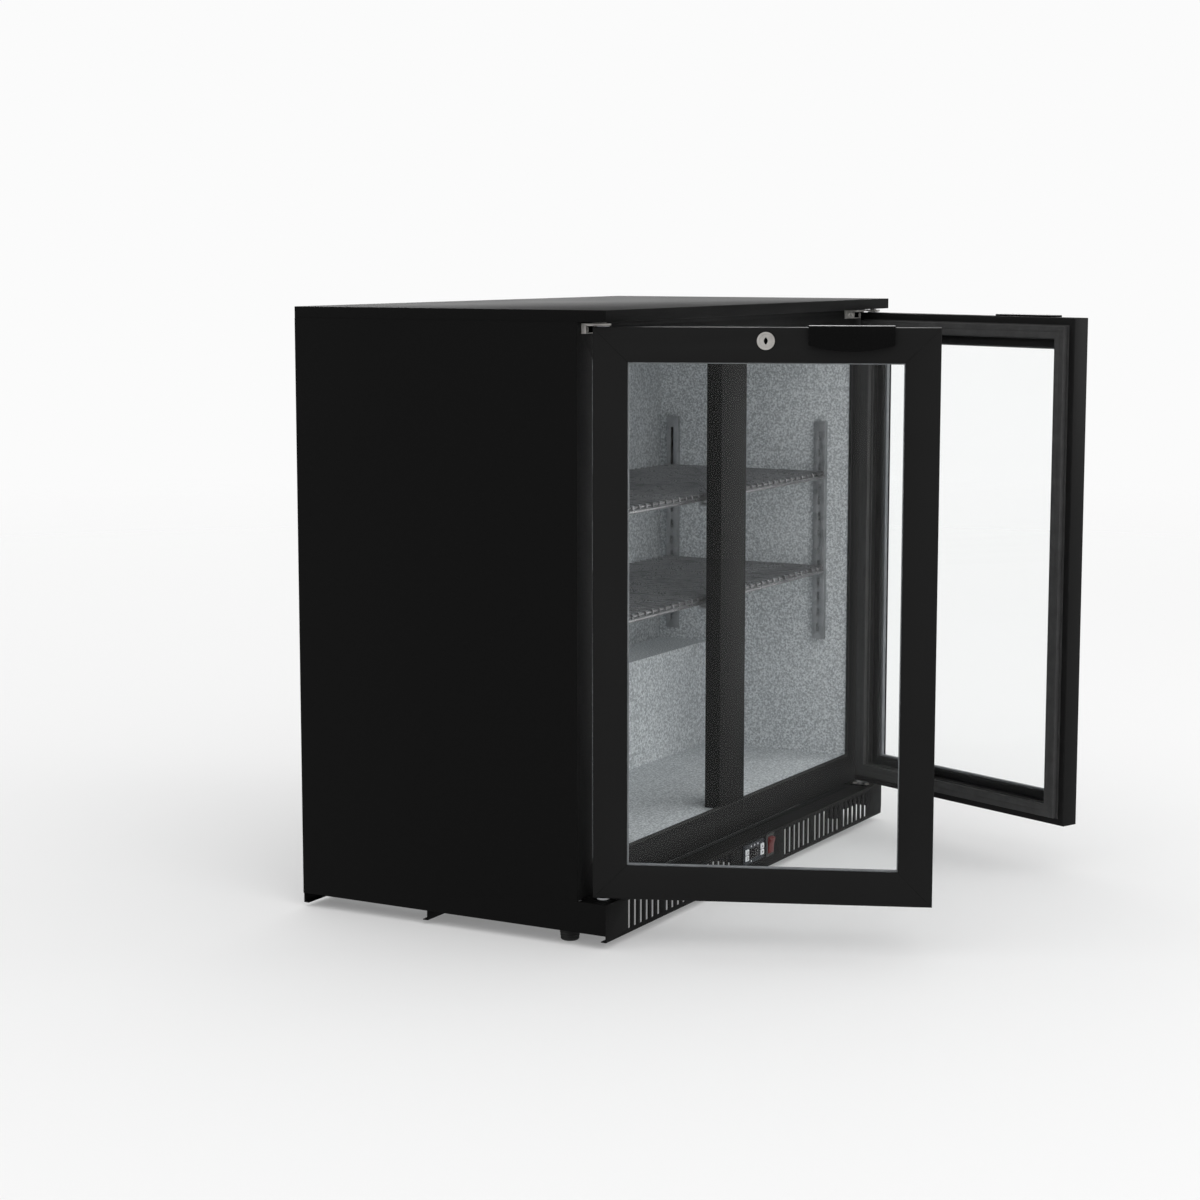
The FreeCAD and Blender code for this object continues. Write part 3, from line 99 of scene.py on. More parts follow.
class Level:
    """A value that changes over a surface; arithmetic on it adds Math nodes."""

    def __init__(self, finish, socket):
        self.finish, self.socket = finish, socket

    def __add__(self, other):
        return self.finish.maths("ADD", self, other)

    __radd__ = __add__

    def __sub__(self, other):
        return self.finish.maths("SUBTRACT", self, other)

    def __rsub__(self, other):
        return self.finish.maths("SUBTRACT", other, self)

    def __mul__(self, other):
        return self.finish.maths("MULTIPLY", self, other)

    __rmul__ = __mul__

    def __abs__(self):
        return self.finish.maths("ABSOLUTE", self, 0.0)

    def fade(self, start, end):
        """Runs from 0 at start to 1 at end, and stays there."""
        ends = {"From Min": start, "From Max": end, "Value": self}
        return self.finish.add("MapRange", {"clamp": True}, ends)


class Finish:
    """A material and the nodes that it is made of."""

    def __init__(self, name):
        self.material = bpy.data.materials.new(name)
        self.material.use_nodes = True
        self.tree = self.material.node_tree
        self.tree.nodes.clear()

    def add(self, kind, settings=None, sockets=None, output=0):
        """One node: its settings first, then the values or links of its sockets."""
        node = self.tree.nodes.new("ShaderNode" + kind)
        for name, value in (settings or {}).items():
            setattr(node, name, value)
        for name, value in (sockets or {}).items():
            if isinstance(value, Level):
                self.tree.links.new(value.socket, node.inputs[name])
            else:
                node.inputs[name].default_value = value
        return Level(self, node.outputs[output])

    def maths(self, operation, first, second):
        return self.add("Math", {"operation": operation}, {0: first, 1: second})

    def place(self, stretch=(1, 1, 1), turn=(0, 0, 0)):
        """The piece's own coordinates, stretched and turned."""
        own = self.add("TexCoord", output="Object")
        return self.add("Mapping", None, {"Vector": own, "Scale": stretch, "Rotation": turn})

    def grain(self, size, detail=2.0, roughness=0.5, stretch=(1, 1, 1)):
        """Soft random pattern from 0 to 1 whose blobs are about size metres across."""
        sockets = {"Vector": self.place(stretch), "Scale": 1 / size, "Detail": detail}
        return self.add("TexNoise", None, {**sockets, "Roughness": roughness})

    def cells(self, size, feature="F1", output="Distance"):
        sockets = {"Vector": self.place(), "Scale": 1 / size}
        return self.add("TexVoronoi", {"feature": feature}, sockets, output)

    def tint(self, amount, low, high):
        """Colour between low and high."""
        sockets = {"Factor": amount, 6: (*low, 1), 7: (*high, 1)}
        return self.add("Mix", {"data_type": "RGBA"}, sockets, 2)

    def relief(self, height, depth, strength=1.0):
        sockets = {"Height": height, "Distance": depth, "Strength": strength}
        return self.add("Bump", None, sockets)

    def shader(self, colour, roughness, normal=None, **sockets):
        """Principled shader; keyword names stand for its sockets, with _ for a space."""
        values = {name.replace("_", " "): value for name, value in sockets.items()}
        values["Base Color"] = colour if isinstance(colour, Level) else (*colour, 1)
        values["Roughness"] = roughness
        if normal is not None:
            values["Normal"] = normal
        return self.add("BsdfPrincipled", None, values)

    def done(self, shader):
        output = self.tree.nodes.new("ShaderNodeOutputMaterial")
        self.tree.links.new(shader.socket, output.inputs["Surface"])
        return self.material


def grey(level, blue=0.0):
    return (level, level * (1 + blue / 3), level * (1 + blue))


def powder_coat(name, dark, light, gloss=0.45, peel=0.00012, specular=0.12):
    """Baked black coating on steel: orange peel, fine specks and faint clouding."""
    f = Finish(name)
    specks = f.grain(0.0011, 3.0, 0.7)
    clouds = f.grain(0.16, 2.0)
    colour = f.tint(specks.fade(0.35, 0.7), grey(dark), grey(light))
    rough = gloss + 0.10 * clouds + 0.10 * specks
    bump = f.relief(f.grain(0.0016, 2.0, 0.6) + 0.4 * specks, peel)
    return f.done(f.shader(colour, rough, bump, Specular_IOR_Level=specular))


def moulded(name, dark, light, gloss=0.42, blue=0.0, specular=0.25):
    """Moulded plastic with a fine spark-eroded grain and slightly uneven sheen."""
    f = Finish(name)
    skin = f.grain(0.0007, 2.0, 0.6)
    flow = f.grain(0.07, 2.0, stretch=(1, 1, 0.35))
    colour = f.tint(skin * 0.5 + flow * 0.5, grey(dark, blue), grey(light, blue))
    rough = gloss + 0.08 * flow + 0.06 * skin
    return f.done(f.shader(colour, rough, f.relief(skin, 0.00005), Specular_IOR_Level=specular))


def mitred_extrusion(name, width, height, reach, dark, light):
    """Satin door profile; its corners show the mitre joint, read from the face map in metres."""
    f = Finish(name)
    across = f.add("SeparateXYZ", None, {"Vector": f.add("UVMap", {"uv_map": "face"})})
    up = Level(f, across.socket.node.outputs[1])
    from_side = f.maths("MINIMUM", across, width - across)
    from_end = f.maths("MINIMUM", up, height - up)
    seam = 1 - abs(from_side - from_end).fade(0.00012, 0.0004)
    inside = 1 - f.maths("MAXIMUM", from_side, from_end).fade(reach, reach + 0.0005)
    joint = seam * inside
    skin = f.grain(0.0006, 2.0, 0.6)
    sheen = f.grain(0.09, 2.0)
    tone = f.tint(skin * 0.5 + sheen * 0.5 - 0.6 * joint, grey(dark), grey(light))
    rough = 0.40 + 0.07 * sheen + 0.05 * skin + 0.2 * joint
    bump = f.relief(0.25 * skin - 4.0 * joint, 0.00008)
    return f.done(f.shader(tone, rough, bump, Specular_IOR_Level=0.15))


def metal(name, dark, light, rough=0.3, grain=0.0008, stretch=(1, 1, 1), bare=0.6):
    """Bare or plated metal with drawn or tumbled grain and a little tarnish."""
    f = Finish(name)
    lines = f.grain(grain, 3.0, 0.6, stretch)
    tarnish = f.grain(0.03, 3.0, 0.6)
    colour = f.tint(tarnish.fade(0.3, 0.75), light, dark)
    level = rough + 0.12 * lines + 0.10 * tarnish
    return f.done(f.shader(colour, level, f.relief(lines, 0.00003), Metallic=bare))


def stucco(name, dark, light):
    """Embossed aluminium sheet: a crinkled pattern of small soft lumps, its colour darker in the crinkle's
    hollows and lighter on its tops, painted shade and painted highlight.
    """
    f = Finish(name)
    lumps = f.cells(0.0034, "SMOOTH_F1")
    crinkle_and_shade = f.grain(0.0030, 3.0, 0.65)
    stains = f.grain(0.12, 2.0)
    # colour follows the crinkle's height: painted shade in its hollows, painted highlight on its tops; the
    # stains are the sheet's own
    colour = f.tint(crinkle_and_shade.fade(0.40, 0.62) * 0.85 + stains * 0.15, dark, light)
    bump = f.relief(lumps * 0.4 + crinkle_and_shade * 0.6, 0.0004, 0.8)
    return f.done(f.shader(colour, 0.40 + 0.12 * stains, bump, Metallic=0.25))


def zinc(name, dark, light):
    """Galvanised sheet with its flat crystals."""
    f = Finish(name)
    crystal = f.add("SeparateColor", None, {"Color": f.cells(0.011, output="Color")})
    fine = f.grain(0.002, 2.0)
    colour = f.tint(crystal * 0.7 + fine * 0.3, dark, light)
    return f.done(f.shader(colour, 0.36 + 0.16 * crystal, f.relief(fine, 0.00003), Metallic=0.9))


def rubber(name, dark, light):
    f = Finish(name)
    dust = f.grain(0.02, 4.0, 0.65)
    skin = f.grain(0.0009, 2.0)
    colour = f.tint(dust.fade(0.35, 0.8), grey(dark), grey(light))
    return f.done(f.shader(colour, 0.62 + 0.18 * dust, f.relief(skin, 0.00006), Specular_IOR_Level=0.3))


def pane_glass(name, thin, thick):
    """Clear pane with a faint tint; light from lamps passes straight through it."""
    f = Finish(name)
    colour = f.tint(f.grain(0.25, 2.0), thin, thick)
    glass = f.shader(colour, 0.0, IOR=PANE_IOR, Transmission_Weight=1.0)
    clear = f.add("BsdfTransparent", None, {"Color": (*thin, 1)})
    lamp_ray = f.add("LightPath", output="Is Shadow Ray")
    return f.done(f.add("MixShader", None, {"Fac": lamp_ray, 1: glass, 2: clear}))


def gloss_plastic(name, colour, deep, rough=0.12, coat=0.5, specular=0.4):
    """Polished moulding with a few handling marks in its gloss."""
    f = Finish(name)
    smears = f.grain(0.012, 3.0, 0.6)
    flow = f.grain(0.05, 2.0)
    tone = f.tint(flow, deep, colour)
    level = rough + 0.10 * smears.fade(0.4, 0.8)
    bump = f.relief(smears, 0.00002)
    layers = {"Coat_Weight": coat, "Coat_Roughness": 0.08, "Specular_IOR_Level": specular}
    return f.done(f.shader(tone, level, bump, **layers))


def foam(name):
    f = Finish(name)
    bubbles = f.cells(0.0016)
    colour = f.tint(f.grain(0.03, 3.0), (0.62, 0.50, 0.24), (0.78, 0.68, 0.40))
    return f.done(f.shader(colour, 0.9, f.relief(bubbles, 0.0006)))


def copper(name):
    f = Finish(name)
    oxide = f.grain(0.018, 4.0, 0.65)
    colour = f.tint(oxide.fade(0.4, 0.75), (0.83, 0.44, 0.28), (0.36, 0.17, 0.10))
    return f.done(f.shader(colour, 0.25 + 0.3 * oxide, f.relief(oxide, 0.00003), Metallic=1.0))


def studio_floor(name):
    """Pale floor that runs out into the backdrop with distance."""
    f = Finish(name)
    lit = 1 - FLOOR_GLOW
    colour = f.tint(f.grain(3.0, 2.0), grey(0.925 * lit), grey(0.935 * lit))
    glow = {"Emission_Color": (1, 1, 1, 1), "Emission_Strength": FLOOR_GLOW * 0.93}
    floor = f.shader(colour, 0.85, Specular_IOR_Level=0.05, **glow)
    distance = f.add("VectorMath", {"operation": "LENGTH"}, {0: f.place()}, "Value")
    beyond = f.add("BsdfTransparent", None, {"Color": (1, 1, 1, 1)})
    sockets = {"Fac": distance.fade(*FLOOR_FADE), 1: floor, 2: beyond}
    return f.done(f.add("MixShader", None, sockets))


def shut_turn(side):
    """Turns a door's open place into its shut one, about its hinge."""
    joint = JOINTS[side + "_door_hinge"]
    pivot = Vector(joint["pos_m"])
    turn = Matrix.Rotation(math.radians(joint["range_deg"][1]), 4, Vector(joint["axis"]))
    return Matrix.Translation(pivot) @ turn @ Matrix.Translation(-pivot)


def shut_box(node, side):
    """Lowest and highest corner of a door's node with the door shut."""
    turn = shut_turn(side)
    points = [turn @ vertex.co for vertex in NODES[node].data.vertices]
    low = Vector(min(p[i] for p in points) for i in range(3))
    high = Vector(max(p[i] for p in points) for i in range(3))
    return low, high


DOOR_LOW, DOOR_HIGH = shut_box("left_door_frame", "left")
BEAD_REACH = 0.044  # from a door's edge to its visible glass
PANE_IOR = 1.13  # coated, low-reflection panes

FINISHES = {
    "black_steel": powder_coat("black_powder_coat", 0.0026, 0.0062),
    "frame_steel": powder_coat("frame_powder_coat", 0.005, 0.022, 0.48, 0.0002, specular=0.10),
    "door_extrusion": mitred_extrusion(
        "satin_door_profile", DOOR_HIGH.x - DOOR_LOW.x, DOOR_HIGH.z - DOOR_LOW.z,
        BEAD_REACH, 0.0085, 0.0125,
    ),
    "black_plastic": moulded("black_moulding", 0.010, 0.016),
    "bezel_plastic": moulded("slate_bezel", 0.034, 0.046, 0.45, blue=0.22, specular=0.1),
    # painted shade: black with no reflection, laid where only shade falls, in the keyholes and beside the
    # top hinge leaves
    "painted_shade_black": moulded("painted_shade_black", 0.001, 0.002, 0.6, specular=0.0),
    "rim_plastic": moulded("grey_rim", 0.05, 0.07, 0.45, specular=0.1),
    "gloss_black_plastic": gloss_plastic("black_grip", (0.0035,) * 3, (0.0025,) * 3, 0.24, 0.0, 0.10),
    "gasket_rubber": rubber("door_seal_rubber", 0.040, 0.060),
    "foot_rubber": rubber("foot_rubber", 0.016, 0.04),
    "glass": pane_glass("clear_pane", (0.990, 0.995, 0.994), (0.994, 0.998, 0.997)),
    "bare_aluminium": metal(
        "drawn_aluminium", (0.68, 0.72, 0.75), (0.82, 0.87, 0.90), 0.34, 0.0006, (1, 1, 0.06)
    ),
    "spacer_metal": metal(
        "dull_spacer", (0.17, 0.18, 0.19), (0.24, 0.25, 0.26), 0.42, 0.0006, (1, 1, 0.06), 0.3
    ),
    "stucco_aluminium": stucco("stucco_sheet", (0.33, 0.355, 0.375), (0.84, 0.87, 0.885)),
    "nickel_plate": metal("nickel_plate", (0.50, 0.48, 0.45), (0.76, 0.74, 0.71), 0.24, 0.0005),
    "galvanised_steel": zinc("zinc_sheet", (0.36, 0.37, 0.38), (0.56, 0.57, 0.585)),
    "chromed_wire": metal("bright_wire", (0.15, 0.15, 0.155), (0.36, 0.36, 0.37), 0.18, 0.002),
    "foam_core": foam("foam_core"),
    "copper": copper("copper_pipe"),
    "grey_plastic": moulded("key_plastic", 0.66, 0.76, 0.4, blue=0.05),
    "smoked_lens": gloss_plastic("smoked_window", (0.010, 0.008, 0.009), (0.006,) * 3, 0.12, 0.05, 0.15),
    "red_plastic": gloss_plastic("red_key", (0.13, 0.014, 0.013), (0.09, 0.008, 0.008), 0.3, 0.1, 0.3),
    "clear_plastic": moulded("white_moulding", 0.60, 0.70, 0.3),
}


# ---------------------------------------------------------------- mesh tools

SHARP_EDGES = {
    "limit_method": "ANGLE", "angle_limit": math.radians(30.0), "use_clamp_overlap": True,
}
WELD = 2e-6  # points nearer than this are one
FLAT = math.radians(0.4)  # faces within this angle are run together


def new_piece(name, mesh, finish, node, sharp=35.0):
    """A finished piece in the given finish, which rides with a node's body."""
    mesh.name = name
    mesh.materials.clear()
    mesh.materials.append(FINISHES[finish])
    mesh.shade_smooth()
    mesh.set_sharp_from_angle(angle=math.radians(sharp))
    piece = bpy.data.objects.new(name, mesh)
    bpy.context.scene.collection.objects.link(piece)
    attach(piece, NODES[node]["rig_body"])
    return piece


def baked(mesh, *modifiers):
    """The mesh with modifiers applied; each is (type, settings)."""
    holder = bpy.data.objects.new("bench", mesh)
    bpy.context.scene.collection.objects.link(holder)
    for kind, settings in modifiers:
        modifier = holder.modifiers.new(kind, kind)
        for name, value in settings.items():
            setattr(modifier, name, value)
    graph = bpy.context.evaluated_depsgraph_get()
    result = bpy.data.meshes.new_from_object(holder.evaluated_get(graph))
    bpy.data.objects.remove(holder)
    return result


def merged_copy(node, pierced=False):
    """The node's surface as joined faces; a pierced sheet's are cut up again, round its holes."""
    bm = bmesh.new()
    bm.from_mesh(NODES[node].data)
    for layer in list(bm.loops.layers.float_vector):
        bm.loops.layers.float_vector.remove(layer)
    bmesh.ops.remove_doubles(bm, verts=bm.verts, dist=WELD)
    bmesh.ops.dissolve_limit(bm, angle_limit=FLAT, verts=bm.verts, edges=bm.edges)
    if pierced:
        bmesh.ops.triangulate(bm, faces=bm.faces)
    return bm


def mesh_of(bm):
    mesh = bpy.data.meshes.new("bench")
    bm.to_mesh(mesh)
    bm.free()
    for name in ("custom_normal", "sharp_edge", "sharp_face"):
        if name in mesh.attributes:
            mesh.attributes.remove(mesh.attributes[name])
    return mesh


def eased(node, radius, finish=None, rounds=2):
    """A copy of a node with its edges rounded, which is shown instead of it."""
    bevel = {"width": radius, "segments": rounds, "miter_outer": "MITER_ARC", **SHARP_EDGES}
    mesh = baked(mesh_of(merged_copy(node, node in PIERCED)), ("BEVEL", bevel))
    piece = new_piece(node + "_eased", mesh, finish or SLOT_OF[node], node)
    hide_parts(node)
    return piece


def lathe(bm, profile, centre, axis=(0, 0, 1), steps=32):
    """Turned solid from (radius, height) points; the first and last lie on the axis."""
    turn = Vector((0, 0, 1)).rotation_difference(Vector(axis)).to_matrix().to_4x4()
    place = Matrix.Translation(centre) @ turn
    rings = []
    for radius, height in profile[1:-1]:
        ring = []
        for i in range(steps):
            a = 2 * math.pi * i / steps
            ring.append(bm.verts.new(place @ Vector((radius * math.cos(a), radius * math.sin(a), height))))
        rings.append(ring)
    first = bm.verts.new(place @ Vector((0, 0, profile[0][1])))
    last = bm.verts.new(place @ Vector((0, 0, profile[-1][1])))
    for i in range(steps):
        j = (i + 1) % steps
        bm.faces.new((first, rings[0][j], rings[0][i]))
        for one, two in zip(rings, rings[1:]):
            bm.faces.new((one[i], one[j], two[j], two[i]))
        bm.faces.new((last, rings[-1][i], rings[-1][j]))


def outward(bm):
    bmesh.ops.recalc_face_normals(bm, faces=bm.faces)
    return bm


def ring_of(low, high, profile):
    """Mitred frame between two corners; the profile's points are (inset, y)."""
    bm = bmesh.new()
    corners = []
    for sx, sz in ((0, 0), (1, 0), (1, 1), (0, 1)):
        corner = []
        for inset, y in profile:
            x = high.x - inset if sx else low.x + inset
            z = high.z - inset if sz else low.z + inset
            corner.append(bm.verts.new((x, y, z)))
        corners.append(corner)
    for i in range(4):
        one, two = corners[i], corners[(i + 1) % 4]
        for j in range(len(profile)):
            k = (j + 1) % len(profile)
            bm.faces.new((one[j], one[k], two[k], two[j]))
    return outward(bm)


def arc(centre, radius, start, end, steps=5):
    """Points on an arc from start to end degrees."""
    points = []
    for i in range(steps + 1):
        a = math.radians(start + (end - start) * i / steps)
        points.append((centre[0] + radius * math.cos(a), centre[1] + radius * math.sin(a)))
    return points


def islands(node):
    """The node's separate solids, as lists of their points."""
    bm = bmesh.new()
    bm.from_mesh(NODES[node].data)
    bmesh.ops.remove_doubles(bm, verts=bm.verts, dist=WELD)
    todo = set(bm.verts)
    groups = []
    while todo:
        stack = [todo.pop()]
        group = []
        while stack:
            vertex = stack.pop()
            group.append(vertex.co.copy())
            for edge in vertex.link_edges:
                other = edge.other_vert(vertex)
                if other in todo:
                    todo.discard(other)
                    stack.append(other)
        groups.append(group)
    bm.free()
    groups.sort(key=lambda g: tuple(round(sum(p[i] for p in g) / len(g), 4) for i in range(3)))
    return groups


def span(points):
    low = Vector(min(p[i] for p in points) for i in range(3))
    high = Vector(max(p[i] for p in points) for i in range(3))
    return low, high


class Tree:
    """A Geometry Nodes tree with named inputs."""

    def __init__(self, name):
        self.tree = bpy.data.node_groups.new(name, "GeometryNodeTree")
        self.tree.interface.new_socket("Geometry", in_out="INPUT", socket_type="NodeSocketGeometry")
        self.tree.interface.new_socket("Geometry", in_out="OUTPUT", socket_type="NodeSocketGeometry")
        self.start = self.tree.nodes.new("NodeGroupInput")
        self.end = self.tree.nodes.new("NodeGroupOutput")
        self.values = {}

    def input(self, name, kind, value):
        socket = self.tree.interface.new_socket(name, in_out="INPUT", socket_type="NodeSocket" + kind)
        self.values[socket.identifier] = value
        return self.start.outputs[name]

    def add(self, kind, settings=None, sockets=None, output=0):
        node = self.tree.nodes.new(kind)
        for name, value in (settings or {}).items():
            setattr(node, name, value)
        for name, value in (sockets or {}).items():
            if isinstance(value, bpy.types.NodeSocket):
                self.tree.links.new(value, node.inputs[name])
            else:
                node.inputs[name].default_value = value
        return node.outputs[output]

    def run(self, mesh, geometry, material):
        """The tree's result on a mesh, as a plain mesh."""
        real = self.add("GeometryNodeRealizeInstances", None, {"Geometry": geometry})
        painted = self.add("GeometryNodeSetMaterial", None, {"Geometry": real, "Material": material})
        self.tree.links.new(painted, self.end.inputs["Geometry"])
        holder = bpy.data.objects.new("bench", mesh)
        bpy.context.scene.collection.objects.link(holder)
        modifier = holder.modifiers.new("nodes", "NODES")
        modifier.node_group = self.tree
        for identifier, value in self.values.items():
            modifier[identifier] = value
        graph = bpy.context.evaluated_depsgraph_get()
        result = bpy.data.meshes.new_from_object(holder.evaluated_get(graph))
        bpy.data.objects.remove(holder)
        return result


# ---------------------------------------------------------------- camera, lights and floor

def make_camera():
    camera = bpy.data.cameras.new("camera")
    camera.lens = LENS
    camera.clip_end = 200.0
    holder = bpy.data.objects.new("camera", camera)
    holder.location = CAMERA_AT
    holder.rotation_euler = Vector(CAMERA_LOOKS).to_track_quat("-Z", "Y").to_euler()
    bpy.context.scene.collection.objects.link(holder)
    bpy.context.scene.camera = holder


def make_lights():
    world = bpy.data.worlds.new("studio")
    world.use_nodes = True
    tree = world.node_tree
    bright = tree.nodes["Background"]
    dim = tree.nodes.new("ShaderNodeBackground")
    for background in (bright, dim):
        background.inputs["Color"].default_value = (1, 1, 1, 1)
        background.inputs["Strength"].default_value = SKY
    path, mix = tree.nodes.new("ShaderNodeLightPath"), tree.nodes.new("ShaderNodeMixShader")
    place, towards = tree.nodes.new("ShaderNodeTexCoord"), tree.nodes.new("ShaderNodeVectorMath")
    towards.operation = "DOT_PRODUCT"
    towards.inputs[1].default_value = Vector(GLOW_WAY).normalized()
    level = tree.nodes.new("ShaderNodeMapRange")
    for name, value in zip(("From Min", "From Max", "To Min", "To Max"), GLOW_RANGE + GLOW_LEVELS):
        level.inputs[name].default_value = value
    tree.links.new(place.outputs["Generated"], towards.inputs[0])
    tree.links.new(towards.outputs["Value"], level.inputs["Value"])
    tree.links.new(level.outputs["Result"], dim.inputs["Strength"])
    mirrored = tree.nodes.new("ShaderNodeMath")
    mirrored.operation = "SUBTRACT"
    mirrored.use_clamp = True
    tree.links.new(path.outputs["Is Glossy Ray"], mirrored.inputs[0])
    tree.links.new(path.outputs["Is Transmission Ray"], mirrored.inputs[1])
    tree.links.new(mirrored.outputs[0], mix.inputs[0])
    tree.links.new(bright.outputs[0], mix.inputs[1])
    tree.links.new(dim.outputs[0], mix.inputs[2])
    tree.links.new(mix.outputs[0], tree.nodes["World Output"].inputs["Surface"])
    bpy.context.scene.world = world
    bpy.context.scene.view_settings.view_transform = "Standard"
    for name, place, aim, size, watts in LAMPS:
        lamp = bpy.data.lights.new(name, "AREA")
        lamp.size = size
        lamp.energy = watts
        holder = bpy.data.objects.new(name, lamp)
        holder.location = place
        away = Vector(aim) - Vector(place)
        holder.rotation_euler = away.to_track_quat("-Z", "Y").to_euler()
        bpy.context.scene.collection.objects.link(holder)


def make_floor():
    bm = bmesh.new()
    bmesh.ops.create_circle(bm, cap_ends=True, segments=96, radius=FLOOR_REACH)
    mesh = mesh_of(bm)
    mesh.materials.append(studio_floor("studio_floor"))
    floor = bpy.data.objects.new("studio_floor", mesh)
    bpy.context.scene.collection.objects.link(floor)
    floor.visible_glossy = False


# ---------------------------------------------------------------- cabinet

def paint_nodes():
    """Every frame node takes the finish of its slot; pieces made later hide some of them."""
    for name, node in NODES.items():
        node.data.materials.clear()
        node.data.materials.append(FINISHES[SLOT_OF[name]])


PIERCED = ("top_panel", "controller_case", "front_grille", "rear_vent_cover", "inner_liner")
EASED_PANELS = {
    "top_panel": 0.5, "left_side_panel": 0.5, "right_side_panel": 0.5, "centre_mullion": 1.6,
    "front_grille": 0.35, "face_frame": 0.6, "back_panel": 0.4, "rear_vent_cover": 0.35,
    "duct_panel": 0.3, "pilasters": 0.35, "inner_liner": 0.5,
    "base_rails": 0.4, "mains_inlet": 0.5, "shelf_clips": 0.5, "display_lens": 0.2,
    "machine_tray": 0.4, "evaporator_fan_motor": 0.8, "evaporator_fan_blade": 0.4,
    "condenser_fan_blade": 0.4,
}


def ease_panels():
    for node, radius in EASED_PANELS.items():
        eased(node, radius * MM)
    eased("controller_case", 0.4 * MM, "bezel_plastic")
    eased("rocker_housing", 0.35 * MM, "rim_plastic")
    eased("rocker_switch", 0.7 * MM, rounds=3)
    for key in ("set_button", "power_button", "up_button", "down_button"):
        eased(key, 0.5 * MM, rounds=3)


def make_hinges():
    """Plated leaves under the top; the plates on the plinth's ledge are coated like it."""
    hinges = eased("hinge_brackets", 0.6 * MM).data
    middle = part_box("face_frame")[1].z / 2
    hinges.materials.append(FINISHES["black_steel"])
    for face in hinges.polygons:
        face.material_index = int(face.center.z < middle)
    make_leaf_flanges()


def block(bm, low, high):
    """Box between two corners."""
    verts = bmesh.ops.create_cube(bm, size=1.0)["verts"]
    bmesh.ops.scale(bm, vec=[abs(b - a) for a, b in zip(low, high)], verts=verts)
    bmesh.ops.translate(bm, vec=[(a + b) / 2 for a, b in zip(low, high)], verts=verts)


def upper_leaves():
    """Each top hinge's leaf: its lower front corner at the cabinet's side, and the way inwards."""
    corners = []
    for points in islands("hinge_brackets"):
        low, high = span(points)
        if high.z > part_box("face_frame")[1].z / 2:
            front = min(p.y for p in points if p.z < low.z + 0.1 * MM)
            way = 1 if low.x < 0 else -1
            corners.append((Vector((low.x if way > 0 else high.x, front, low.z)), way))
    return corners


LEAF_RIM = 4.0 * MM  # how far the folded edge stands in front of the leaf
LEAF_RIM_T = 1.4 * MM
LEAF_RIM_H = 10.4 * MM
LEAF_SCREW = Vector((9.0 * MM, 0, 5.0 * MM))  # adjusting screw, from the leaf's lower corner
# Black plate beside each top leaf's folded edge, and its gap from it: painted shade on the leaf's recessed
# face
LEAF_SHADE_PLATE = Vector((26.0 * MM, 0.25 * MM, 8.4 * MM))
LEAF_SHADE_PLATE_GAP = 0.8 * MM


def make_leaf_flanges():
    """Folded edge at the side of each top hinge's leaf, and beside it a black plate that is painted shade
    on the leaf's recessed face.
    """
    flange, leaf_shade_plate = bmesh.new(), bmesh.new()
    for at, way in upper_leaves():
        block(flange, at, at + Vector((way * LEAF_RIM_T, -LEAF_RIM, LEAF_RIM_H)))
        start = at + Vector((way * (LEAF_RIM_T + LEAF_SHADE_PLATE_GAP), 0, LEAF_SHADE_PLATE_GAP))
        block(leaf_shade_plate, start, start + Vector((way * LEAF_SHADE_PLATE.x, -LEAF_SHADE_PLATE.y, LEAF_SHADE_PLATE.z)))
    bevel = {"width": 0.4 * MM, "segments": 2, **SHARP_EDGES}
    for name, bm, finish in (
        ("hinge_leaf_flanges", flange, "nickel_plate"), ("hinge_packing_plates", leaf_shade_plate, "painted_shade_black"),
    ):
        mesh = baked(mesh_of(outward(bm)), ("BEVEL", bevel))
        new_piece(name, mesh, finish, "hinge_brackets")


TRIM_W = 3.5 * MM
TRIM_EDGE = 0.8 * MM
LINER_T = 1.0 * MM


def make_throat_trim():
    """Moulded strip round the opening, which covers the joint of the liner and the face frame."""
    front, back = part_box("face_frame")[0].y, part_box("face_frame")[1].y
    low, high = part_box("inner_liner")
    sill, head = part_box("centre_mullion")[0].z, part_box("centre_mullion")[1].z
    inner = TRIM_W - TRIM_EDGE
    outline = [(0, front), (inner, front), (TRIM_W, front + TRIM_EDGE), (TRIM_W, back - TRIM_EDGE)]
    outline += [(inner, back), (0, back)]
    corners = Vector((low.x + LINER_T, 0, sill)), Vector((high.x - LINER_T, 0, head))
    mesh = mesh_of(ring_of(*corners, outline))
    piece = new_piece("throat_trim", mesh, "black_plastic", "face_frame")


def screw_places():
    """Where each screw's head meets the sheet, and the way its axis points out of the sheet."""
    places = []
    for points in islands("screws"):
        low, high = span(points)
        sizes = high - low
        along = max(range(3), key=lambda i: sizes[i])
        middle = (low + high) / 2
        wide = [p for p in points if (p - middle).length > 0 and
                max(abs(p[i] - middle[i]) for i in range(3) if i != along) > 3.0 * MM]
        out = 1 if sum(p[along] for p in wide) / len(wide) > middle[along] else -1
        axis = Vector([0, 0, 0])
        axis[along] = out
        seat = middle.copy()
        inner = [p[along] * out for p in wide]
        seat[along] = min(inner) * out
        places.append((seat, axis))
    for corner, way in upper_leaves():
        seat = corner + Vector((way * LEAF_SCREW.x, 0, LEAF_SCREW.z))
        places.append((seat, Vector((0, -1, 0))))
    return places


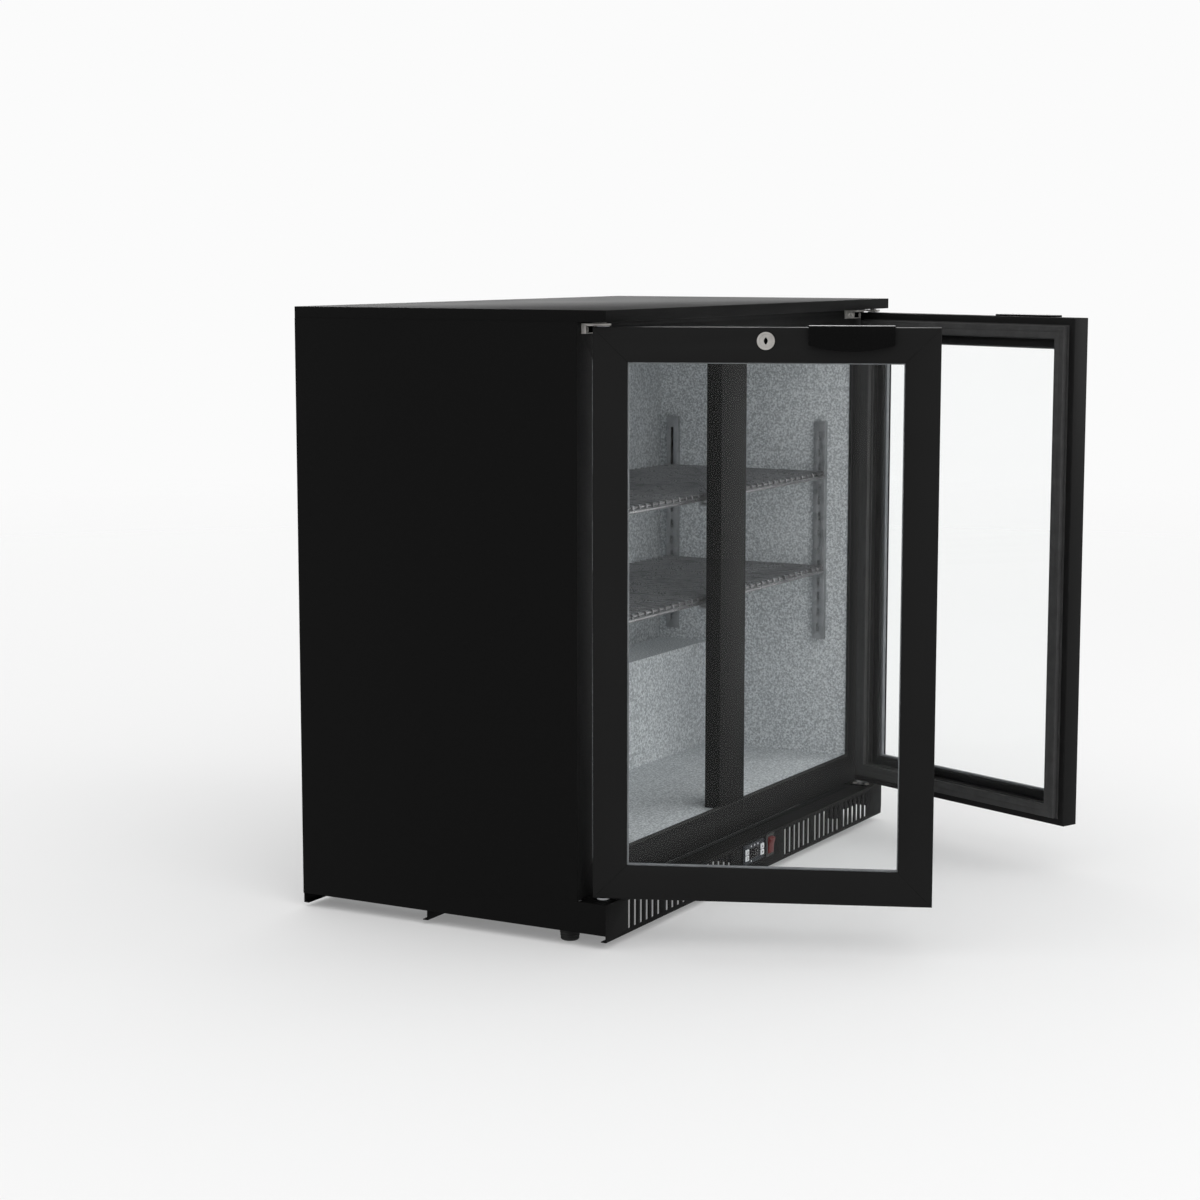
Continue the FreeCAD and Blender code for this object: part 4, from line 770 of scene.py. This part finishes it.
def screw_head():
    """Domed pan head with a cross recess, standing on its seat at the origin."""
    bm = bmesh.new()
    profile = [(0, 0.0), (3.75 * MM, 0.0), (3.78 * MM, 0.5 * MM), (3.5 * MM, 1.15 * MM)]
    profile += [(r * MM, h * MM) for r, h in ((2.8, 1.62), (1.9, 1.88), (0.9, 1.98), (0, 2.0))]
    lathe(bm, profile, (0, 0, 0), steps=24)
    head = mesh_of(outward(bm))
    cutter = bmesh.new()
    for turn in (0, 90):
        block = bmesh.ops.create_cube(cutter, size=1.0)["verts"]
        bmesh.ops.scale(cutter, vec=(4.2 * MM, 0.9 * MM, 3.0 * MM), verts=block)
        bmesh.ops.translate(cutter, vec=(0, 0, 2.4 * MM), verts=block)
        rotation = Matrix.Rotation(math.radians(turn), 3, "Z")
        bmesh.ops.rotate(cutter, cent=(0, 0, 0), matrix=rotation, verts=block)
    tool = bpy.data.objects.new("tool", mesh_of(outward(cutter)))
    bpy.context.scene.collection.objects.link(tool)
    cut = {"object": tool, "operation": "DIFFERENCE", "solver": "EXACT", "use_self": True}
    mesh = baked(head, ("BOOLEAN", cut))
    bpy.data.objects.remove(tool)
    return mesh


def make_screws():
    places = screw_places()
    mesh = bpy.data.meshes.new("screw_points")
    mesh.from_pydata([seat for seat, _ in places], [], [])
    way = mesh.attributes.new("way", "FLOAT_VECTOR", "POINT")
    way.data.foreach_set("vector", [c for _, axis in places for c in axis])
    head = bpy.data.objects.new("head", screw_head())
    bpy.context.scene.collection.objects.link(head)
    tree = Tree("screws_on_points")
    points = tree.start.outputs["Geometry"]
    source = tree.input("Head", "Object", head)
    shape = tree.add("GeometryNodeObjectInfo", None, {"Object": source}, "Geometry")
    named = tree.add("GeometryNodeInputNamedAttribute", {"data_type": "FLOAT_VECTOR"}, {"Name": "way"})
    turn = tree.add("FunctionNodeAlignRotationToVector", {"axis": "Z"}, {"Vector": named})
    placed = tree.add(
        "GeometryNodeInstanceOnPoints", None,
        {"Points": points, "Instance": shape, "Rotation": turn},
    )
    result = tree.run(mesh, placed, FINISHES["nickel_plate"])
    bpy.data.objects.remove(head)
    piece = new_piece("pan_head_screws", result, "nickel_plate", "screws", 40)
    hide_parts("screws")


def make_feet():
    """Ribbed rubber feet with a dished sole."""
    bm = bmesh.new()
    for points in islands("feet"):
        low, high = span(points)
        centre = Vector(((low.x + high.x) / 2, (low.y + high.y) / 2, low.z))
        radius = (high.x - low.x) / 2
        top = max(p.z for p in points if abs(p.x - centre.x) > radius / 2) - low.z
        profile = [(0, 0.6 * MM), (0.45 * radius, 0.5 * MM), (0.62 * radius, 0.0)]
        profile += [(0.74 * radius, 0.0), (0.80 * radius, 0.5 * MM), (0.82 * radius, 1.2 * MM)]
        ribs = 4
        pitch = (top - 3.2 * MM) / ribs
        for i in range(ribs):
            z = 1.8 * MM + i * pitch
            out = radius * (0.84 + 0.14 * (i + 1) / ribs)
            profile += [(out, z), (out, z + 0.55 * pitch), (out - 0.6 * MM, z + 0.75 * pitch)]
        profile += [(radius, top - 1.2 * MM), (radius - 0.4 * MM, top), (0, top)]
        lathe(bm, profile, centre, steps=40)
    piece = new_piece("ribbed_feet", mesh_of(outward(bm)), "foot_rubber", "feet", 28)
    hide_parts("feet")


def make_fan_guard():
    """Wire guard in front of the evaporator fan: rings on a cross of spokes."""
    low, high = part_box("evaporator_fan_motor")
    duct_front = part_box("duct_panel")[0].y
    centre = Vector(((low.x + high.x) / 2, duct_front - 3.0 * MM, (low.z + high.z) / 2))
    rings, inner, outer, wire = 6, 9 * MM, 55 * MM, 0.8 * MM
    mesh = bpy.data.meshes.new("guard_points")
    mesh.from_pydata([centre] * rings, [], [])
    tree = Tree("ring_guard")
    points = tree.start.outputs["Geometry"]
    first = tree.input("Inner radius", "Float", inner)
    step = tree.input("Ring step", "Float", (outer - inner) / (rings - 1))
    thickness = tree.input("Wire radius", "Float", wire)
    circle = tree.add("GeometryNodeCurvePrimitiveCircle", None, {"Resolution": 64, "Radius": 1.0})
    index = tree.add("GeometryNodeInputIndex")
    grown = tree.add("ShaderNodeMath", {"operation": "MULTIPLY_ADD"}, {0: index, 1: step, 2: first})
    upright = tree.add("FunctionNodeEulerToRotation", None, {0: (math.pi / 2, 0, 0)})
    placed = tree.add(
        "GeometryNodeInstanceOnPoints", None,
        {"Points": points, "Instance": circle, "Rotation": upright, "Scale": grown},
    )
    curves = tree.add("GeometryNodeRealizeInstances", None, {"Geometry": placed})
    section = tree.add("GeometryNodeCurvePrimitiveCircle", None, {"Resolution": 10, "Radius": thickness})
    wires = tree.add("GeometryNodeCurveToMesh", None, {"Curve": curves, "Profile Curve": section})
    result = tree.run(mesh, wires, FINISHES["chromed_wire"])
    bm = bmesh.new()
    bm.from_mesh(result)
    for i in range(4):
        a = math.radians(45 + 90 * i)
        way = Vector((math.cos(a), 0, math.sin(a)))
        start = centre + way * inner * 0.9 + Vector((0, 1.6 * MM, 0))
        length = outer + 4 * MM - inner * 0.9
        profile = [(0, 0), (1.1 * MM, 0), (1.2 * MM, 0.3 * MM), (1.2 * MM, length - 0.3 * MM)]
        lathe(bm, profile + [(1.1 * MM, length), (0, length)], start, way, 12)
    piece = new_piece("fan_guard", mesh_of(outward(bm)), "chromed_wire", "duct_panel")


def raised(bm, outline, place, depth):
    """Thin plate from an outline of (x, z) points in front of a place, its face towards -Y."""
    back = [bm.verts.new(place + Vector((x, 0, z))) for x, z in outline]
    front = [bm.verts.new(place + Vector((x, -depth, z))) for x, z in outline]
    bm.faces.new(back)
    bm.faces.new(list(reversed(front)))
    for i in range(len(outline)):
        j = (i + 1) % len(outline)
        bm.faces.new((back[i], front[i], front[j], back[j]))


def band(radius, width, start, end, steps=20):
    """Outline of a ring's stretch between two angles in degrees."""
    outer = arc((0, 0), radius, start, end, steps)
    return outer + list(reversed(arc((0, 0), radius - width, start, end, steps)))


KEY_MARKS = {
    "up_button": [[(-2.2, -1.4), (2.2, -1.4), (0, 2.2)]],
    "down_button": [[(-2.2, 1.4), (0, -2.2), (2.2, 1.4)]],
    "set_button": [band(2.2, 0.7, 2, 178), band(2.2, 0.7, 182, 358)],
    "power_button": [band(2.2, 0.7, 125, 415), [(-0.35, 0.2), (0.35, 0.2), (0.35, 2.6), (-0.35, 2.6)]],
}


def make_key_marks():
    """Plain symbols on the four keys, a hair proud of them."""
    for node, outlines in KEY_MARKS.items():
        low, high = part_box(node)
        face = Vector(((low.x + high.x) / 2, low.y + 0.05 * MM, (low.z + high.z) / 2))
        bm = bmesh.new()
        for outline in outlines:
            raised(bm, [(x * MM, z * MM) for x, z in outline], face, 0.17 * MM)
        piece = new_piece(node + "_mark", mesh_of(outward(bm)), "black_plastic", node)


def make_lamps():
    """Indicator lamps in the bezel's upper strip and one in the lower."""
    low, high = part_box("controller_case")
    glass_low, glass_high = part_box("display_lens")
    upper = (glass_high.z + high.z) / 2
    lower = (glass_low.z + low.z) / 2
    middle, reach = (glass_low.x + glass_high.x) / 2, (glass_high.x - glass_low.x) / 2
    spots = [(middle + reach * t, upper) for t in (-0.62, 0.0, 0.62)]
    spots.append((middle - reach * 0.62, lower))
    bm = bmesh.new()
    for x, z in spots:
        profile = [(0, -0.8 * MM), (1.4 * MM, -0.8 * MM), (1.4 * MM, 0.1 * MM), (1.0 * MM, 0.42 * MM)]
        lathe(bm, profile + [(0.4 * MM, 0.52 * MM), (0, 0.55 * MM)], (x, low.y, z), (0, -1, 0), 20)
    piece = new_piece("indicator_lamps", mesh_of(outward(bm)), "grey_plastic", "controller_case")


# ---------------------------------------------------------------- doors

def opened(mesh, side):
    """Moves a mesh made with the door shut to where the open door is."""
    mesh.transform(shut_turn(side).inverted())
    return mesh


def face_map(mesh, side):
    """Map of the door's face in metres from its lower left corner."""
    turn = shut_turn(side)
    low = shut_box(side + "_door_frame", side)[0]
    layer = mesh.uv_layers.new(name="face")
    for loop in mesh.loops:
        point = turn @ mesh.vertices[loop.vertex_index].co
        layer.data[loop.index].uv = (point.x - low.x, point.z - low.z)


SEAL_W = 21.0 * MM
SPACER_W = 7.0 * MM
SPACER_R = 1.2 * MM
SPACER_SEAM = 0.35 * MM
KEYHOLE_BOW = 5.0  # radius of each side of the keyhole, whose centres are BOW_IN from its middle
BOW_IN = 2.6
BOW_SPAN = 58  # degrees each side of level


def seal_profile(inset, y0, y1, width):
    """Section of the door seal: a foot, folded bellows and a magnet tube with a flat face."""
    middle = inset + width / 2
    half = width / 2
    foot, waist = 1.2 * MM, y0 + (y1 - y0) * 0.42
    points = [(middle - half, y0), (middle + half, y0), (middle + half, y0 + foot)]
    points += [(middle + half - 3.0 * MM, y0 + foot + 0.6 * MM), (middle + half - 4.0 * MM, waist)]
    points += [(middle + half - 1.6 * MM, waist + 0.5 * MM)]
    corner = 1.4 * MM
    points += arc((middle + half - 1.4 * MM - corner, y1 - corner), corner, 0, 90, 4)
    points += [(middle + 1.0 * MM, y1), (middle, y1 - 0.5 * MM), (middle - 1.0 * MM, y1)]
    points += arc((middle - half + 1.4 * MM + corner, y1 - corner), corner, 90, 180, 4)
    points += [(middle - half + 1.6 * MM, waist + 0.5 * MM), (middle - half + 4.0 * MM, waist)]
    points += [(middle - half + 3.0 * MM, y0 + foot + 0.6 * MM), (middle - half, y0 + foot)]
    return points


def make_seal(side):
    node = side + "_door_gasket"
    low, high = shut_box(node, side)
    frame_low, frame_high = shut_box(side + "_door_frame", side)
    inset = low.x - frame_low.x
    outline = seal_profile(inset, low.y, high.y, SEAL_W)
    mesh = mesh_of(ring_of(frame_low, frame_high, outline))
    piece = new_piece(side + "_bellows_seal", opened(mesh, side), "gasket_rubber", node, 40)
    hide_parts(node)


def make_spacer(side):
    """Hollow spacer bar: rounded shoulders and a seam along the face seen through the glass."""
    node = side + "_glass_spacer"
    low, high = shut_box(node, side)
    y0, y1 = low.y, high.y
    middle, shoulder = (y0 + y1) / 2, SPACER_W - SPACER_R
    outline = [(0, y0), (shoulder, y0)]
    outline += arc((shoulder, y0 + SPACER_R), SPACER_R, -90, 0, 4)
    outline += [(SPACER_W, middle - SPACER_SEAM), (SPACER_W - 0.5 * MM, middle)]
    outline += [(SPACER_W, middle + SPACER_SEAM)]
    outline += arc((shoulder, y1 - SPACER_R), SPACER_R, 0, 90, 4)
    outline += [(0, y1)]
    mesh = mesh_of(ring_of(low, high, outline))
    piece = new_piece(side + "_spacer_bar", opened(mesh, side), "spacer_metal", node, 40)
    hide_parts(node)


def make_keyhole_shade(side):
    """Black plate that fills the keyhole, level with the plug's face: painted shade for the keyhole's dark
    depth.
    """
    node = side + "_lock_cylinder"
    low, high = shut_box(side + "_lock_housing", side)
    plug_face = shut_box(node, side)[0].y
    face = Vector(((low.x + high.x) / 2, plug_face + 0.25 * MM, (low.z + high.z) / 2))
    bm = bmesh.new()
    outline = arc((BOW_IN, 0), KEYHOLE_BOW, 180 - BOW_SPAN, 180 + BOW_SPAN, 10)
    outline += arc((-BOW_IN, 0), KEYHOLE_BOW, -BOW_SPAN, BOW_SPAN, 10)
    raised(bm, [(x * MM, z * MM) for x, z in outline], face, 0.28 * MM)
    mesh = opened(mesh_of(outward(bm)), side)
    piece = new_piece(side + "_keyhole_shutter", mesh, "painted_shade_black", node)


def make_doors():
    for side in SIDES:
        profile = eased(side + "_door_frame", 0.4 * MM, "door_extrusion")
        face_map(profile.data, side)
        eased(side + "_door_handle", 1.1 * MM, rounds=3)
        eased(side + "_lock_housing", 0.25 * MM)
        eased(side + "_lock_cylinder", 0.2 * MM)
        eased(side + "_hinge_bushes", 0.4 * MM)
        eased(side + "_glazing_bead", 0.4 * MM)
        make_seal(side)
        make_spacer(side)
        make_keyhole_shade(side)


make_camera()
make_lights()
make_floor()
paint_nodes()
ease_panels()
make_hinges()
make_throat_trim()
make_screws()
make_feet()
make_fan_guard()
make_key_marks()
make_lamps()
make_doors()
